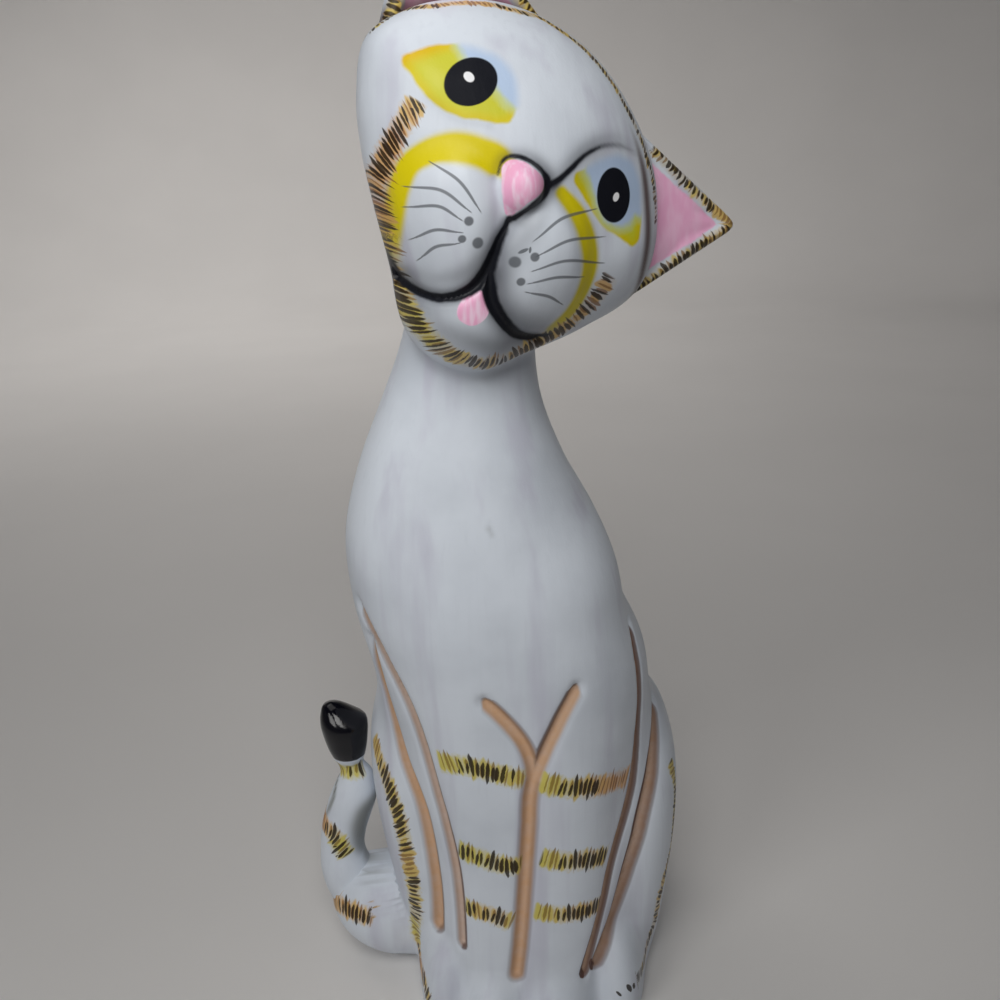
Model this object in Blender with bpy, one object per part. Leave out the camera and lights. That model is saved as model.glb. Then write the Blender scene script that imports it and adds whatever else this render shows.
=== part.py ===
"""A seated cat carved from one block of wood, as one closed solid named "cat".

The trunk, from the flat underside up through the neck to the crown, is one skin: rows of rays leave a
bent spine and stop where a smooth union of simple bodies ends. Ears and tail are skins of their own,
joined to the trunk by exact Boolean unions. Gouged grooves are pressed into the trunk's skin.

Units are metres, +Z is up, -Y is the side that the chest faces, and the origin is on the underside.
"""
import math

import bmesh
import bpy
import numpy as np

# ---------------------------------------------------------------- skins
TRIANGLE_BUDGET = 9400           # triangles that the finished solid keeps
UNDERSIDE_MARGIN = 0.004         # the skins reach this far under the floor, and are cut flat there
TRUNK_COLUMNS = 224
BODY_ROWS = 118
NECK_ROWS = 84
CROWN_ROWS = 58
FRONT_CROWDING = 0.42            # 0 spaces the columns evenly, more crowds them on the front
RAY_REACH = 0.100                # rays are traced inwards from this far off the spine
TRACE_STEPS = 48
TRACE_CAUTION = 0.8              # share of the field's value that each step moves
TRACE_NEAREST = 0.002            # no ray ends nearer to the spine than this

# ---------------------------------------------------------------- trunk
# height, centre x, half width, front y, back y of the torso and neck
TORSO = np.array((
    (-0.010, 0.0010, 0.0400, -0.034, 0.056),
    (0.040, 0.0020, 0.0430, -0.037, 0.062),
    (0.085, 0.0010, 0.0470, -0.041, 0.062),
    (0.120, -0.0005, 0.0515, -0.044, 0.058),
    (0.150, -0.0038, 0.0534, -0.046, 0.053),
    (0.178, -0.0120, 0.0500, -0.046, 0.046),
    (0.205, -0.0156, 0.0466, -0.043, 0.038),
    (0.230, -0.0185, 0.0368, -0.036, 0.032),
    (0.250, -0.0178, 0.0290, -0.028, 0.028),
    (0.268, -0.0150, 0.0242, -0.024, 0.025),
    (0.300, -0.0080, 0.0220, -0.023, 0.023),
    (0.330, 0.0000, 0.0200, -0.023, 0.020),
))
TORSO_POWER = 2.25

# point of the spine, and the roll of its rows in degrees
SPINE = np.array((
    (0.003, 0.004, -UNDERSIDE_MARGIN, 0.0),
    (0.001, 0.004, 0.100, 0.0),
    (-0.006, 0.003, 0.160, 1.0),
    (-0.014, 0.000, 0.210, 6.0),
    (-0.016, -0.004, 0.248, 14.0),
    (-0.012, -0.010, 0.280, 25.0),
    (-0.006, -0.015, 0.303, 33.0),
    (0.000, -0.018, 0.322, 38.0),
))
SPINE_BODY_SHARE = 0.70          # share of the spine that takes the body's rows

# centre, radii, power and lean of each haunch
HAUNCHES = (
    ((-0.0300, 0.016, 0.054), (0.0279, 0.043, 0.080), 2.7, -0.150),
    ((0.0358, 0.017, 0.0445), (0.0270, 0.042, 0.0780), 2.7, 0.105),
)
# centre and radii of each paw
HIND_PAWS = (
    ((-0.0330, -0.018, 0.008), (0.0125, 0.026, 0.028)),
    ((0.0360, -0.018, 0.008), (0.0130, 0.026, 0.028)),
)
FRONT_PAWS = (
    ((-0.0145, -0.034, 0.002), (0.0140, 0.021, 0.024)),
    ((0.0120, -0.034, 0.002), (0.0150, 0.021, 0.024)),
)
# top point, foot point, top radius and foot radius of each front leg
FRONT_LEGS = (
    ((-0.013, -0.015, 0.180), (-0.0150, -0.031, -0.010), 0.0245, 0.0125),
    ((0.010, -0.015, 0.180), (0.0120, -0.031, -0.010), 0.0245, 0.0150),
)
# centre, radii, power and lean of the tail's thick root
TAIL_ROOT = ((-0.0584, 0.005, 0.0226), (0.0252, 0.022, 0.0217), 2.0, -0.27)
LEG_BLEND = 0.014
HAUNCH_BLEND = 0.009
PAW_BLEND = 0.006
ROOT_BLEND = 0.004

# ---------------------------------------------------------------- head
HEAD_CENTRE = np.array((0.000, -0.020, 0.3225))
HEAD_ROLL = math.radians(38.0)
HEAD_YAW = math.radians(16.0)
HEAD_FRONT = 0.034
HEAD_BACK = 0.042
NECK_BLEND = 0.005
# direction in degrees, from the side of the face that is lower, and reach of the head's outline
HEAD_OUTLINE = np.array((
    (0, 0.0555), (32, 0.0505), (65, 0.0465), (100, 0.0485), (140, 0.0552), (158, 0.0588), (170, 0.0602),
    (184, 0.0535), (200, 0.0466), (226, 0.0416), (250, 0.0444), (274, 0.0566), (292, 0.0590),
    (312, 0.0525), (336, 0.0515),
))
# centre in the face's plane, half width, half length, depth, tilt in degrees, rise and blend
FACE_BUMPS = (
    ((-0.0178, -0.0220), (0.0182, 0.0238, 0.0125), 26.0, 0.0060, 0.0020),
    ((0.0162, -0.0160), (0.0182, 0.0246, 0.0125), 36.0, 0.0058, 0.0020),
    ((-0.0054, -0.0016), (0.0072, 0.0082, 0.0085), 30.0, 0.0058, 0.0014),
    ((0.0080, -0.0450), (0.0200, 0.0110, 0.0125), -8.0, 0.0035, 0.0060),
)
BUMP_EDGE = 0.90                 # share of the head's outline from which the bumps sink away
BUMP_FADE = 0.5
# centre in the face's plane, half width, half length, tilt and depth of each eye's hollow
EYE_HOLLOWS = (
    ((-0.0330, 0.0110), (0.0170, 0.0120), 20.0, 0.0010),
    ((0.0220, 0.0130), (0.0165, 0.0150), 60.0, 0.0022),
)
# points of the mouth in the face's plane, its half width and depth
MOUTH = (
    ((-0.0147, -0.0415), (-0.0099, -0.0424), (-0.0053, -0.0410), (-0.0015, -0.0375), (0.0012, -0.0318),
     (0.0011, -0.0264), (0.0001, -0.0228), (-0.0017, -0.0170), (-0.0019, -0.0120)),
    ((0.0024, -0.0265), (0.0077, -0.0320), (0.0146, -0.0348), (0.0234, -0.0354), (0.0315, -0.0323)),
)
MOUTH_HALF_WIDTH = 0.0019
MOUTH_DEPTH = 0.0022
MOUTH_STEPS = 40

# ---------------------------------------------------------------- ears and tail
# place of the ear's middle in the head's axes, half reaches towards its three sides, their directions
EARS = (
    ((0.0590, 0.0290, -0.0110), (0.0130, 0.0140, 0.0260), (88.0, -24.0, 214.0)),
    ((-0.0450, 0.0380, -0.0110), (0.0168, 0.0186, 0.0280), (77.0, 200.0, -40.0)),
)
EAR_THICKNESS = 0.0075
EAR_HOLLOW = 0.0022
EAR_RIM = 0.0052
EAR_CORNER_POWER = 7.5
EAR_EDGE_POWER = 0.6             # under 1 squares the ear's edge off
EAR_FLAT_START = 0.6             # rims in from the outline at which the hollow starts
EAR_COLUMNS = 72
EAR_ROWS = 20
EAR_POLE = 0.10                  # swing in radians left to the fan that closes each face

# point and radius along the tail, from inside its root round to the tip
TAIL = np.array((
    (-0.0640, 0.0060, 0.0260, 0.0115),
    (-0.0740, 0.0070, 0.0320, 0.0118),
    (-0.0780, 0.0080, 0.0410, 0.0107),
    (-0.0788, 0.0090, 0.0500, 0.0095),
    (-0.0773, 0.0095, 0.0600, 0.0095),
    (-0.0740, 0.0100, 0.0700, 0.0096),
    (-0.0711, 0.0105, 0.0780, 0.0092),
    (-0.0706, 0.0110, 0.0840, 0.0077),
    (-0.0716, 0.0110, 0.0895, 0.0053),
    (-0.0722, 0.0110, 0.0925, 0.0055),
    (-0.0723, 0.0105, 0.0955, 0.0067),
    (-0.0725, 0.0100, 0.1002, 0.0081),
    (-0.0728, 0.0100, 0.1053, 0.0091),
    (-0.0730, 0.0100, 0.1092, 0.0096),
    (-0.0733, 0.0100, 0.1120, 0.0096),
    (-0.0742, 0.0100, 0.1142, 0.0086),
    (-0.0754, 0.0100, 0.1163, 0.0070),
    (-0.0764, 0.0100, 0.1181, 0.0055),
    (-0.0772, 0.0100, 0.1193, 0.0042),
    (-0.0775, 0.0100, 0.1201, 0.0030),
    (-0.0777, 0.0100, 0.1206, 0.0017),
    (-0.0778, 0.0100, 0.1208, 0.0005),
))
TAIL_ROWS = 120
TAIL_COLUMNS = 40
TAIL_LEVEL = 0.114               # height from which the rings lie level
TAIL_TURN = 0.008                # height over which they turn level

# ---------------------------------------------------------------- grooves
# half width, depth, and the bearing in degrees (0 ahead, more towards +X) and height of its points
GROOVES = (
    (0.0027, 0.0025, ((5.1, 0.118), (3.1, 0.1123), (0.9, 0.102), (-0.8, 0.0883), (-2.4, 0.0742),
                      (-4.1, 0.0597), (-6.4, 0.0423), (-8.9, 0.0269))),
    (0.0024, 0.0025, ((-9.0, 0.1523), (-4.7, 0.1477), (-0.7, 0.1426), (2.8, 0.1371), (5.1, 0.131),
                      (5.9, 0.1245), (5.1, 0.118))),
    (0.0024, 0.0026, ((28.3, 0.1549), (24.8, 0.1504), (20.8, 0.1449), (17.4, 0.1395), (13.9, 0.1339),
                      (9.6, 0.1265), (5.1, 0.118))),
    (0.0024, 0.0023, ((-63.0, 0.1811), (-58.6, 0.1756), (-54.0, 0.168), (-50.6, 0.159),
                      (-47.6, 0.1518), (-45.2, 0.1455), (-43.0, 0.1371), (-41.6, 0.1288),
                      (-40.3, 0.117), (-39.1, 0.1066), (-37.3, 0.0962), (-35.3, 0.0855),
                      (-33.9, 0.0743), (-33.5, 0.0624), (-33.8, 0.0478), (-34.3, 0.038))),
    (0.0028, 0.0026, ((-60.5, 0.1671), (-62.5, 0.1566), (-63.6, 0.1471), (-63.4, 0.1379),
                      (-61.6, 0.127), (-58.4, 0.1144), (-54.2, 0.1049), (-50.7, 0.0951),
                      (-48.8, 0.0841), (-47.9, 0.0723), (-47.7, 0.0613), (-48.5, 0.050),
                      (-50.1, 0.0393))),
    (0.0019, 0.0025, ((70.1, 0.1658), (65.6, 0.156), (63.9, 0.1444), (63.2, 0.1332), (60.9, 0.1186),
                      (56.4, 0.1019), (51.3, 0.0896), (45.8, 0.0789), (40.6, 0.0674), (36.2, 0.054),
                      (31.4, 0.0432), (27.2, 0.0346), (23.2, 0.0255))),
    (0.0025, 0.0025, ((88.0, 0.1226), (80.0, 0.1169), (72.3, 0.108), (66.2, 0.0975), (61.1, 0.0862),
                      (57.0, 0.0739), (53.2, 0.0634), (49.3, 0.0523), (44.0, 0.0414), (37.2, 0.0333),
                      (30.6, 0.0262))),
)
GROOVE_STEP = 0.0007
GROOVE_REACH = 3.0               # half widths at which a groove has faded out
TRUNK_GIRTH = 0.045              # nominal radius that turns a bearing into a length


def smooth_union(first, second, reach):
    """Lower of two fields, rounded over where they are within reach of each other."""
    share = np.clip(0.5 + 0.5 * (second - first) / reach, 0.0, 1.0)
    return second * (1.0 - share) + first * share - reach * share * (1.0 - share)


def smooth_table(keys, table):
    """Rows of the table at the given keys, along a Catmull-Rom curve through its rows."""
    knots = table[:, 0]
    values = table[:, 1:]
    slopes = np.gradient(values, knots, axis=0)
    index = np.clip(np.searchsorted(knots, keys) - 1, 0, len(knots) - 2)
    width = knots[index + 1] - knots[index]
    share = np.clip((keys - knots[index]) / width, 0.0, 1.0)[..., None]
    width = width[..., None]
    start_pull = (share ** 3 - 2 * share ** 2 + share) * width * slopes[index]
    end_pull = (share ** 3 - share ** 2) * width * slopes[index + 1]
    blend = 3 * share ** 2 - 2 * share ** 3
    return values[index] * (1 - blend) + values[index + 1] * blend + start_pull + end_pull


def smooth_path(points, count):
    """The given number of points along a Catmull-Rom curve through the points, evenly by length."""
    points = np.asarray(points, float)
    steps = np.linalg.norm(np.diff(points[:, :3], axis=0), axis=1)
    table = np.column_stack([np.concatenate([[0.0], np.cumsum(steps)]), points])
    return smooth_table(np.linspace(0.0, table[-1, 0], count), table)


def ellipsoid(point, centre, radii):
    """Near-distance to an ellipsoid's surface, negative inside."""
    offset = point - np.asarray(centre)
    radii = np.asarray(radii)
    size = np.linalg.norm(offset / radii, axis=-1)
    slope = np.linalg.norm(offset / radii ** 2, axis=-1) + 1e-9
    return size * (size - 1.0) / slope


def haunch(point, centre, radii, power, lean):
    """Near-distance to a boxy ellipsoid that leans sideways as it rises."""
    offset = point - np.asarray(centre)
    sideways = offset[..., 0] - lean * offset[..., 2]
    scaled = np.abs(np.stack([sideways, offset[..., 1], offset[..., 2]], -1)) / np.asarray(radii)
    return ((scaled ** power).sum(-1) ** (1.0 / power) - 1.0) * min(radii)


def tapered_rod(point, start, end, start_radius, end_radius):
    """Distance to a round rod between two points, with a radius at each end."""
    start = np.asarray(start)
    axis = np.asarray(end) - start
    along = np.clip(((point - start) @ axis) / (axis @ axis), 0.0, 1.0)
    away = np.linalg.norm(point - start - along[..., None] * axis, axis=-1)
    return away - (start_radius + (end_radius - start_radius) * along)


def torso(point):
    """Near-distance to the stack of rounded sections that makes the torso and neck."""
    section = smooth_table(point[..., 2], TORSO)
    middle = 0.5 * (section[..., 2] + section[..., 3])
    half_depth = 0.5 * (section[..., 3] - section[..., 2])
    across = np.abs(point[..., 0] - section[..., 0]) / section[..., 1]
    fore = np.abs(point[..., 1] - middle) / half_depth
    size = (across ** TORSO_POWER + fore ** TORSO_POWER) ** (1.0 / TORSO_POWER)
    sides = (size - 1.0) * np.minimum(section[..., 1], half_depth)
    return np.maximum(sides, point[..., 2] - TORSO[-1, 0])


def head_axes():
    """Rows: across the face, up the face, and out of the face."""
    across = np.array((math.cos(HEAD_YAW), math.sin(HEAD_YAW), 0.0))
    out = np.array((math.sin(HEAD_YAW), -math.cos(HEAD_YAW), 0.0))
    up = np.array((0.0, 0.0, 1.0))
    turned_across = math.cos(HEAD_ROLL) * across - math.sin(HEAD_ROLL) * up
    turned_up = math.cos(HEAD_ROLL) * up + math.sin(HEAD_ROLL) * across
    return np.array((turned_across, turned_up, out))


def turned(offset, tilt):
    """Offsets in the face's plane, across and along an axis tilted from upright by some degrees."""
    cosine = math.cos(math.radians(tilt))
    sine = math.sin(math.radians(tilt))
    across = cosine * offset[..., 0] + sine * offset[..., 1]
    along = cosine * offset[..., 1] - sine * offset[..., 0]
    return across, along


def head_outline(bearing):
    """Reach of the head's outline in a direction of the face's plane."""
    degrees = np.degrees(bearing) % 360.0
    wrapped = np.concatenate([HEAD_OUTLINE[-2:] - (360, 0), HEAD_OUTLINE, HEAD_OUTLINE[:2] + (360, 0)])
    return smooth_table(degrees, wrapped)[..., 0]


def head(point):
    """Near-distance to the domed head with its muzzle, nose and chin."""
    local = (point - HEAD_CENTRE) @ head_axes().T
    bearing = np.arctan2(local[..., 1], local[..., 0])
    share = np.hypot(local[..., 0], local[..., 1]) / head_outline(bearing)
    depth = np.where(local[..., 2] > 0.0, HEAD_FRONT, HEAD_BACK)
    size = np.sqrt(share ** 2 + (local[..., 2] / depth) ** 2) + 1e-9
    field = (size - 1.0) * np.linalg.norm(local, axis=-1) / size
    dome = HEAD_FRONT * np.sqrt(np.clip(1.0 - share ** 2, 0.0, 1.0))
    front = local[..., 2] > 0.0
    for centre, halves, tilt, depth in EYE_HOLLOWS:
        right, high = turned(local[..., :2] - centre, tilt)
        away = (right / halves[0]) ** 2 + (high / halves[1]) ** 2
        field = field + np.where(front, depth * np.exp(-away ** 2), 0.0)
    for centre, radii, tilt, rise, blend in FACE_BUMPS:
        right, high = turned(local[..., :2] - centre, tilt)
        bump = np.stack([right, high, local[..., 2] - dome], -1)
        raised = ellipsoid(bump, (0.0, 0.0, rise - radii[2]), radii)
        raised = raised + BUMP_FADE * np.clip(share - BUMP_EDGE, 0.0, None) ** 2
        field = smooth_union(field, np.where(front, raised, 1.0), blend)
    return field


def trunk(point):
    """Smooth union of the torso, haunches, legs, paws and head."""
    field = torso(point)
    for start, end, start_radius, end_radius in FRONT_LEGS:
        field = smooth_union(field, tapered_rod(point, start, end, start_radius, end_radius), LEG_BLEND)
    for centre, radii, power, lean in HAUNCHES:
        field = smooth_union(field, haunch(point, centre, radii, power, lean), HAUNCH_BLEND)
    for centre, radii in HIND_PAWS + FRONT_PAWS:
        field = smooth_union(field, ellipsoid(point, centre, radii), PAW_BLEND)
    field = smooth_union(field, haunch(point, *TAIL_ROOT), ROOT_BLEND)
    return smooth_union(field, head(point), NECK_BLEND)


def trace(origin, direction):
    """Distance along each ray, traced inwards from RAY_REACH, at which the trunk's surface lies."""
    distance = np.full(origin.shape[:-1], RAY_REACH)
    for _ in range(TRACE_STEPS):
        field = trunk(origin + distance[..., None] * direction)
        distance = np.maximum(distance - TRACE_CAUTION * field, TRACE_NEAREST)
    return distance


def trunk_rays(body_rows, neck_rows, crown_rows, columns):
    """Origins and directions of the rays, row by row from the underside to the crown."""
    turn = np.linspace(0.0, 2.0 * np.pi, columns, endpoint=False)
    bearing = turn - FRONT_CROWDING * np.sin(turn) - 0.5 * np.pi
    steps = np.linalg.norm(np.diff(SPINE[:, :3], axis=0), axis=1)
    table = np.column_stack([np.concatenate([[0.0], np.cumsum(steps)]), SPINE])
    length = table[-1, 0]
    body_end = SPINE_BODY_SHARE * length
    stations = np.concatenate([np.linspace(0.0, body_end, body_rows, endpoint=False),
                               np.linspace(body_end, length, neck_rows, endpoint=False)])
    tilt = np.linspace(0.0, 0.5 * np.pi, crown_rows, endpoint=False)
    rows = smooth_table(np.concatenate([stations, np.full(crown_rows, length)]), table)
    tilt = np.concatenate([np.zeros(len(stations)), tilt])
    roll = np.radians(rows[:, 3])
    sideways = np.stack([np.cos(roll), 0 * roll, -np.sin(roll)], -1)
    upwards = np.stack([np.sin(roll), 0 * roll, np.cos(roll)], -1)
    back = np.array((0.0, 1.0, 0.0))
    flat = np.cos(bearing)[None, :, None] * sideways[:, None] + np.sin(bearing)[None, :, None] * back
    direction = np.cos(tilt)[:, None, None] * flat + np.sin(tilt)[:, None, None] * upwards[:, None]
    origin = np.broadcast_to(rows[:, None, :3], direction.shape)
    return origin, direction


def groove_path(route):
    """Points on the ungrooved trunk under a groove's route, one every GROOVE_STEP or so."""
    route = np.asarray(route)
    flat_route = np.column_stack([np.radians(route[:, 0]) * TRUNK_GIRTH, route[:, 1]])
    length = np.linalg.norm(np.diff(flat_route, axis=0), axis=1).sum()
    count = int(length / GROOVE_STEP)
    share = np.linspace(0.0, 1.0, len(route))
    fine = smooth_table(np.linspace(0.0, 1.0, count), np.column_stack([share, route]))
    bearing = np.radians(fine[:, 0])
    origin = np.column_stack([np.interp(fine[:, 1], SPINE[:, 2], SPINE[:, 0]),
                              np.interp(fine[:, 1], SPINE[:, 2], SPINE[:, 1]), fine[:, 1]])
    direction = np.column_stack([np.sin(bearing), -np.cos(bearing), 0.0 * bearing])
    return origin + trace(origin, direction)[:, None] * direction


def press_grooves(origin, direction, distance):
    """Points where the rays end, with the gouged grooves pressed in along the rays."""
    points = origin + distance[..., None] * direction
    pressed = np.zeros_like(distance)
    for half_width, depth, route in GROOVES:
        path = groove_path(route)
        reach = GROOVE_REACH * half_width
        near = np.all((points > path.min(0) - reach) & (points < path.max(0) + reach), axis=-1)
        gaps = np.linalg.norm(points[near][:, None] - path[None], axis=-1).min(axis=1)
        gouge = depth * np.exp(-(gaps / half_width) ** 2)
        pressed[near] = np.maximum(pressed[near], gouge)
    local = (points - HEAD_CENTRE) @ head_axes().T
    front = (local[..., 2] > 0.0) & (np.hypot(local[..., 0], local[..., 1]) < HEAD_OUTLINE[:, 1].max())
    for route in MOUTH:
        path = smooth_path(route, MOUTH_STEPS)
        gaps = np.linalg.norm(local[front][:, None, :2] - path[None, :, :2], axis=-1).min(axis=1)
        gouge = MOUTH_DEPTH * np.exp(-(gaps / MOUTH_HALF_WIDTH) ** 2)
        pressed[front] = np.maximum(pressed[front], gouge)
    return origin + (distance - pressed)[..., None] * direction


def ear_skin(place, reaches, sides):
    """Points of a flat-fronted ear, rows from the middle of its front round to the middle of its back.

    Its outline is a triangle with rounded corners: a high power mean of the distances to three sides.
    """
    turn = np.linspace(0.0, 2.0 * np.pi, EAR_COLUMNS, endpoint=False)
    pull = np.zeros_like(turn)
    for reach, side in zip(reaches, sides):
        pull += (np.clip(np.cos(turn - math.radians(side)), 0.0, 1.0) / reach) ** EAR_CORNER_POWER
    outline = pull ** (-1.0 / EAR_CORNER_POWER)
    swing = np.linspace(EAR_POLE, np.pi - EAR_POLE, EAR_ROWS)
    share = np.sin(swing)[:, None]
    height = EAR_THICKNESS * np.sign(np.cos(swing)) * np.abs(np.cos(swing)) ** EAR_EDGE_POWER
    inside = np.clip((1.0 - share) * outline / EAR_RIM - EAR_FLAT_START, 0.0, 1.0)
    hollow = EAR_HOLLOW * inside ** 2 * (3.0 - 2.0 * inside) * (np.cos(swing) > 0.0)[:, None]
    local = np.stack([share * outline * np.cos(turn), share * outline * np.sin(turn),
                      height[:, None] - hollow], -1) + np.asarray(place)
    return HEAD_CENTRE + local @ head_axes()


def tail_skin():
    """Points of the round tail along a smooth path, one row for each step of the path."""
    rows = smooth_path(TAIL, TAIL_ROWS)
    ahead = np.gradient(rows[:, :3], axis=0)
    ahead[:, 0] *= np.clip((TAIL_LEVEL - rows[:, 2]) / TAIL_TURN, 0.0, 1.0)
    ahead /= np.linalg.norm(ahead, axis=1)[:, None]
    side = np.cross(ahead, (0.0, 1.0, 0.0))
    side /= np.linalg.norm(side, axis=1)[:, None]
    turn = np.linspace(0.0, 2.0 * np.pi, TAIL_COLUMNS, endpoint=False)
    over = np.cross(ahead, side)
    ring = np.cos(turn)[:, None] * side[:, None] + np.sin(turn)[:, None] * over[:, None]
    return rows[:, None, :3] + rows[:, None, 3:] * ring


def closed_mesh(name, points):
    """Mesh of quads between the rows of points, closed by a fan at each end, facing outwards."""
    rows, columns = points.shape[:2]
    first = np.arange(rows * columns).reshape(rows, columns)
    after = np.roll(first, -1, axis=1)
    quads = np.stack([first[:-1], after[:-1], after[1:], first[1:]], -1).reshape(-1, 4)
    start_pole = rows * columns
    end_pole = start_pole + 1
    start_fan = np.stack([after[0], first[0], np.full(columns, start_pole)], -1)
    end_fan = np.stack([first[-1], after[-1], np.full(columns, end_pole)], -1)
    vertices = np.vstack([points.reshape(-1, 3), points[0].mean(axis=0), points[-1].mean(axis=0)])
    mesh = bpy.data.meshes.new(name)
    mesh.from_pydata(vertices.tolist(), [], quads.tolist() + start_fan.tolist() + end_fan.tolist())
    work = bmesh.new()
    work.from_mesh(mesh)
    bmesh.ops.recalc_face_normals(work, faces=work.faces)
    work.to_mesh(mesh)
    work.free()
    return mesh


def box_mesh(name, low, high):
    """Mesh of a box between two corners."""
    work = bmesh.new()
    bmesh.ops.create_cube(work, size=1.0)
    for vertex in work.verts:
        vertex.co = [low[i] if vertex.co[i] < 0.0 else high[i] for i in range(3)]
    mesh = bpy.data.meshes.new(name)
    work.to_mesh(mesh)
    work.free()
    return mesh


def add_object(name, mesh):
    """Object in the scene's collection that holds the mesh."""
    made = bpy.data.objects.new(name, mesh)
    bpy.context.scene.collection.objects.link(made)
    return made


def add_tool(name, mesh):
    """Object that only joins or cuts another, shown as wire and never rendered."""
    tool = add_object(name, mesh)
    tool.hide_render = True
    tool.display_type = "WIRE"
    return tool


def combine(target, tool, operation):
    """Exact Boolean of the tool with the target."""
    modifier = target.modifiers.new(f"{operation.lower()} {tool.name}", "BOOLEAN")
    modifier.operation = operation
    modifier.solver = "EXACT"
    modifier.object = tool


def triangle_count(target):
    """Triangles of the object as its modifiers leave it."""
    shown = target.evaluated_get(bpy.context.evaluated_depsgraph_get())
    return sum(len(face.vertices) - 2 for face in shown.data.polygons)


def painted_wood():
    """Satin white paint over wood."""
    material = bpy.data.materials.new("white paint")
    material.use_nodes = True
    shader = material.node_tree.nodes["Principled BSDF"]
    shader.inputs["Base Color"].default_value = (0.66, 0.68, 0.71, 1.0)
    shader.inputs["Roughness"].default_value = 0.38
    shader.inputs["Metallic"].default_value = 0.0
    return material


def build_cat():
    """The whole figure: trunk, ears and tail joined, thinned to the budget and cut flat below."""
    origin, direction = trunk_rays(BODY_ROWS, NECK_ROWS, CROWN_ROWS, TRUNK_COLUMNS)
    distance = trace(origin, direction)
    cat = add_object("cat", closed_mesh("cat", press_grooves(origin, direction, distance)))
    for side, ear in zip(("left", "right"), EARS):
        tool = add_tool(f"{side}_ear", closed_mesh(f"{side}_ear", ear_skin(*ear)))
        combine(cat, tool, "UNION")
    combine(cat, add_tool("tail", closed_mesh("tail", tail_skin())), "UNION")
    thin = cat.modifiers.new("thin to budget", "DECIMATE")
    thin.ratio = TRIANGLE_BUDGET / triangle_count(cat)
    ground = box_mesh("ground", (-0.2, -0.2, -0.05), (0.2, 0.2, 0.0))
    combine(cat, add_tool("ground", ground), "DIFFERENCE")
    cat.data.materials.append(painted_wood())
    cat.data.shade_smooth()
    return cat


def main():
    """Clear the scene and build the figure."""
    for existing in list(bpy.data.objects):
        bpy.data.objects.remove(existing, do_unlink=True)
    build_cat()


main()
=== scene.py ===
"""Looks of a seated wooden cat: one carved figure in satin white paint, with painted markings.

The figure's skins are numpy grids: rows of rays from a bent spine for the trunk and head, a rounded
triangle swung from front to back for each ear, and a round profile carried along a path for the tail.
Markings are measured on the finished mesh as attributes, and the finishes turn them into paint, some of it
painted shade in creases, grooves and gaps.

Units are metres, +Z is up, -Y is the side that the chest faces, and the origin is on the underside.
Routes of markings on the head are in its own axes: across the face, up the face and out of the face.
"""
import logging
import math
from dataclasses import dataclass
from enum import Enum
from typing import Iterable, Optional, Sequence, Union

import bmesh
import bpy
import numpy as np
from mathutils import Matrix


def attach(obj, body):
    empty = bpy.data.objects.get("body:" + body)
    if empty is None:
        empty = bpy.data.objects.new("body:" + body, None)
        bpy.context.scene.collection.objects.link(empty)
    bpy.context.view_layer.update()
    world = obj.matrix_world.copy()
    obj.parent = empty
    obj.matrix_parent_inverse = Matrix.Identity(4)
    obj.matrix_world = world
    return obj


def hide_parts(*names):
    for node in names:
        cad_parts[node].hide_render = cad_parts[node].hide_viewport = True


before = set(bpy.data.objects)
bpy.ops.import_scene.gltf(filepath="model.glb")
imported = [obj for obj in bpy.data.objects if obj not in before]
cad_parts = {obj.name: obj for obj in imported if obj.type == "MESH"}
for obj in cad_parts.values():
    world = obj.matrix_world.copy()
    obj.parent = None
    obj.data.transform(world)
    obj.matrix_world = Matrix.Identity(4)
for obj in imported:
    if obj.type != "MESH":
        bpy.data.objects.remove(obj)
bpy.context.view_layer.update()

LOG = logging.getLogger("cat")
MM = 0.001
TINY = 1e-12
FINE = 0.0007               # between the points of a route measured on the figure
DRAWN_FINE = 0.5            # between the points of a sprayed line or a field's edge, in millimetres
INK_FINE = 0.3              # between the points of an ink line, in millimetres
WHISKER_FINE = 0.2          # between the points of a whisker, in millimetres
FAR = 9.0                   # distance kept where no marking is near, in its own half widths
OUTSIDE = -20.0             # depth kept where no hard-edged field is near, in millimetres
BATCH = 20000               # how many places are compared with a route at a time
FACE_BACK = -0.004          # how far behind the head's middle the markings on the face reach
BODY_BACK = 0.02            # how far back the rows of strokes on the body reach
EAR_MARGIN = 0.002          # how near an ear's outline a place counts as that ear's
SEAM_ON_EAR = 0.0048        # width of the dark seam on an ear
SEAM_ON_HEAD = 0.0016       # width of the dark seam round an ear on the head
HATCH_BOX = 3.0             # half lengths round a row of strokes within which it is measured
HATCH_KEEP = 2.8            # half lengths beyond which a row leaves no mark
HATCH_SIDE = (4.75, 2.5)    # closeness on a row's line, and its loss for each half length away
HATCH_END = 1.4             # closeness at a row's end, and its loss for each stroke past it
CLOSENESS = (-4.0, 1.5)     # least and greatest closeness that is kept
UNDERSIDE_MARGIN = 0.004
Socket = bpy.types.NodeSocket
Value = Union[float, Sequence[float], Socket]


# ---------------------------------------------------------------- curves and fields
def smooth_union(first: np.ndarray, second: np.ndarray, reach: float) -> np.ndarray:
    """Lower of two fields, rounded over where they are within reach of each other.

    Args:
        first: One field's values.
        second: The other field's values.
        reach: Difference of the values within which they blend.

    Returns:
        The weighted mean of both less reach times share times one minus share.
    """
    share = np.clip(0.5 + 0.5 * (second - first) / reach, 0.0, 1.0)
    return second * (1.0 - share) + first * share - reach * share * (1.0 - share)


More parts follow.
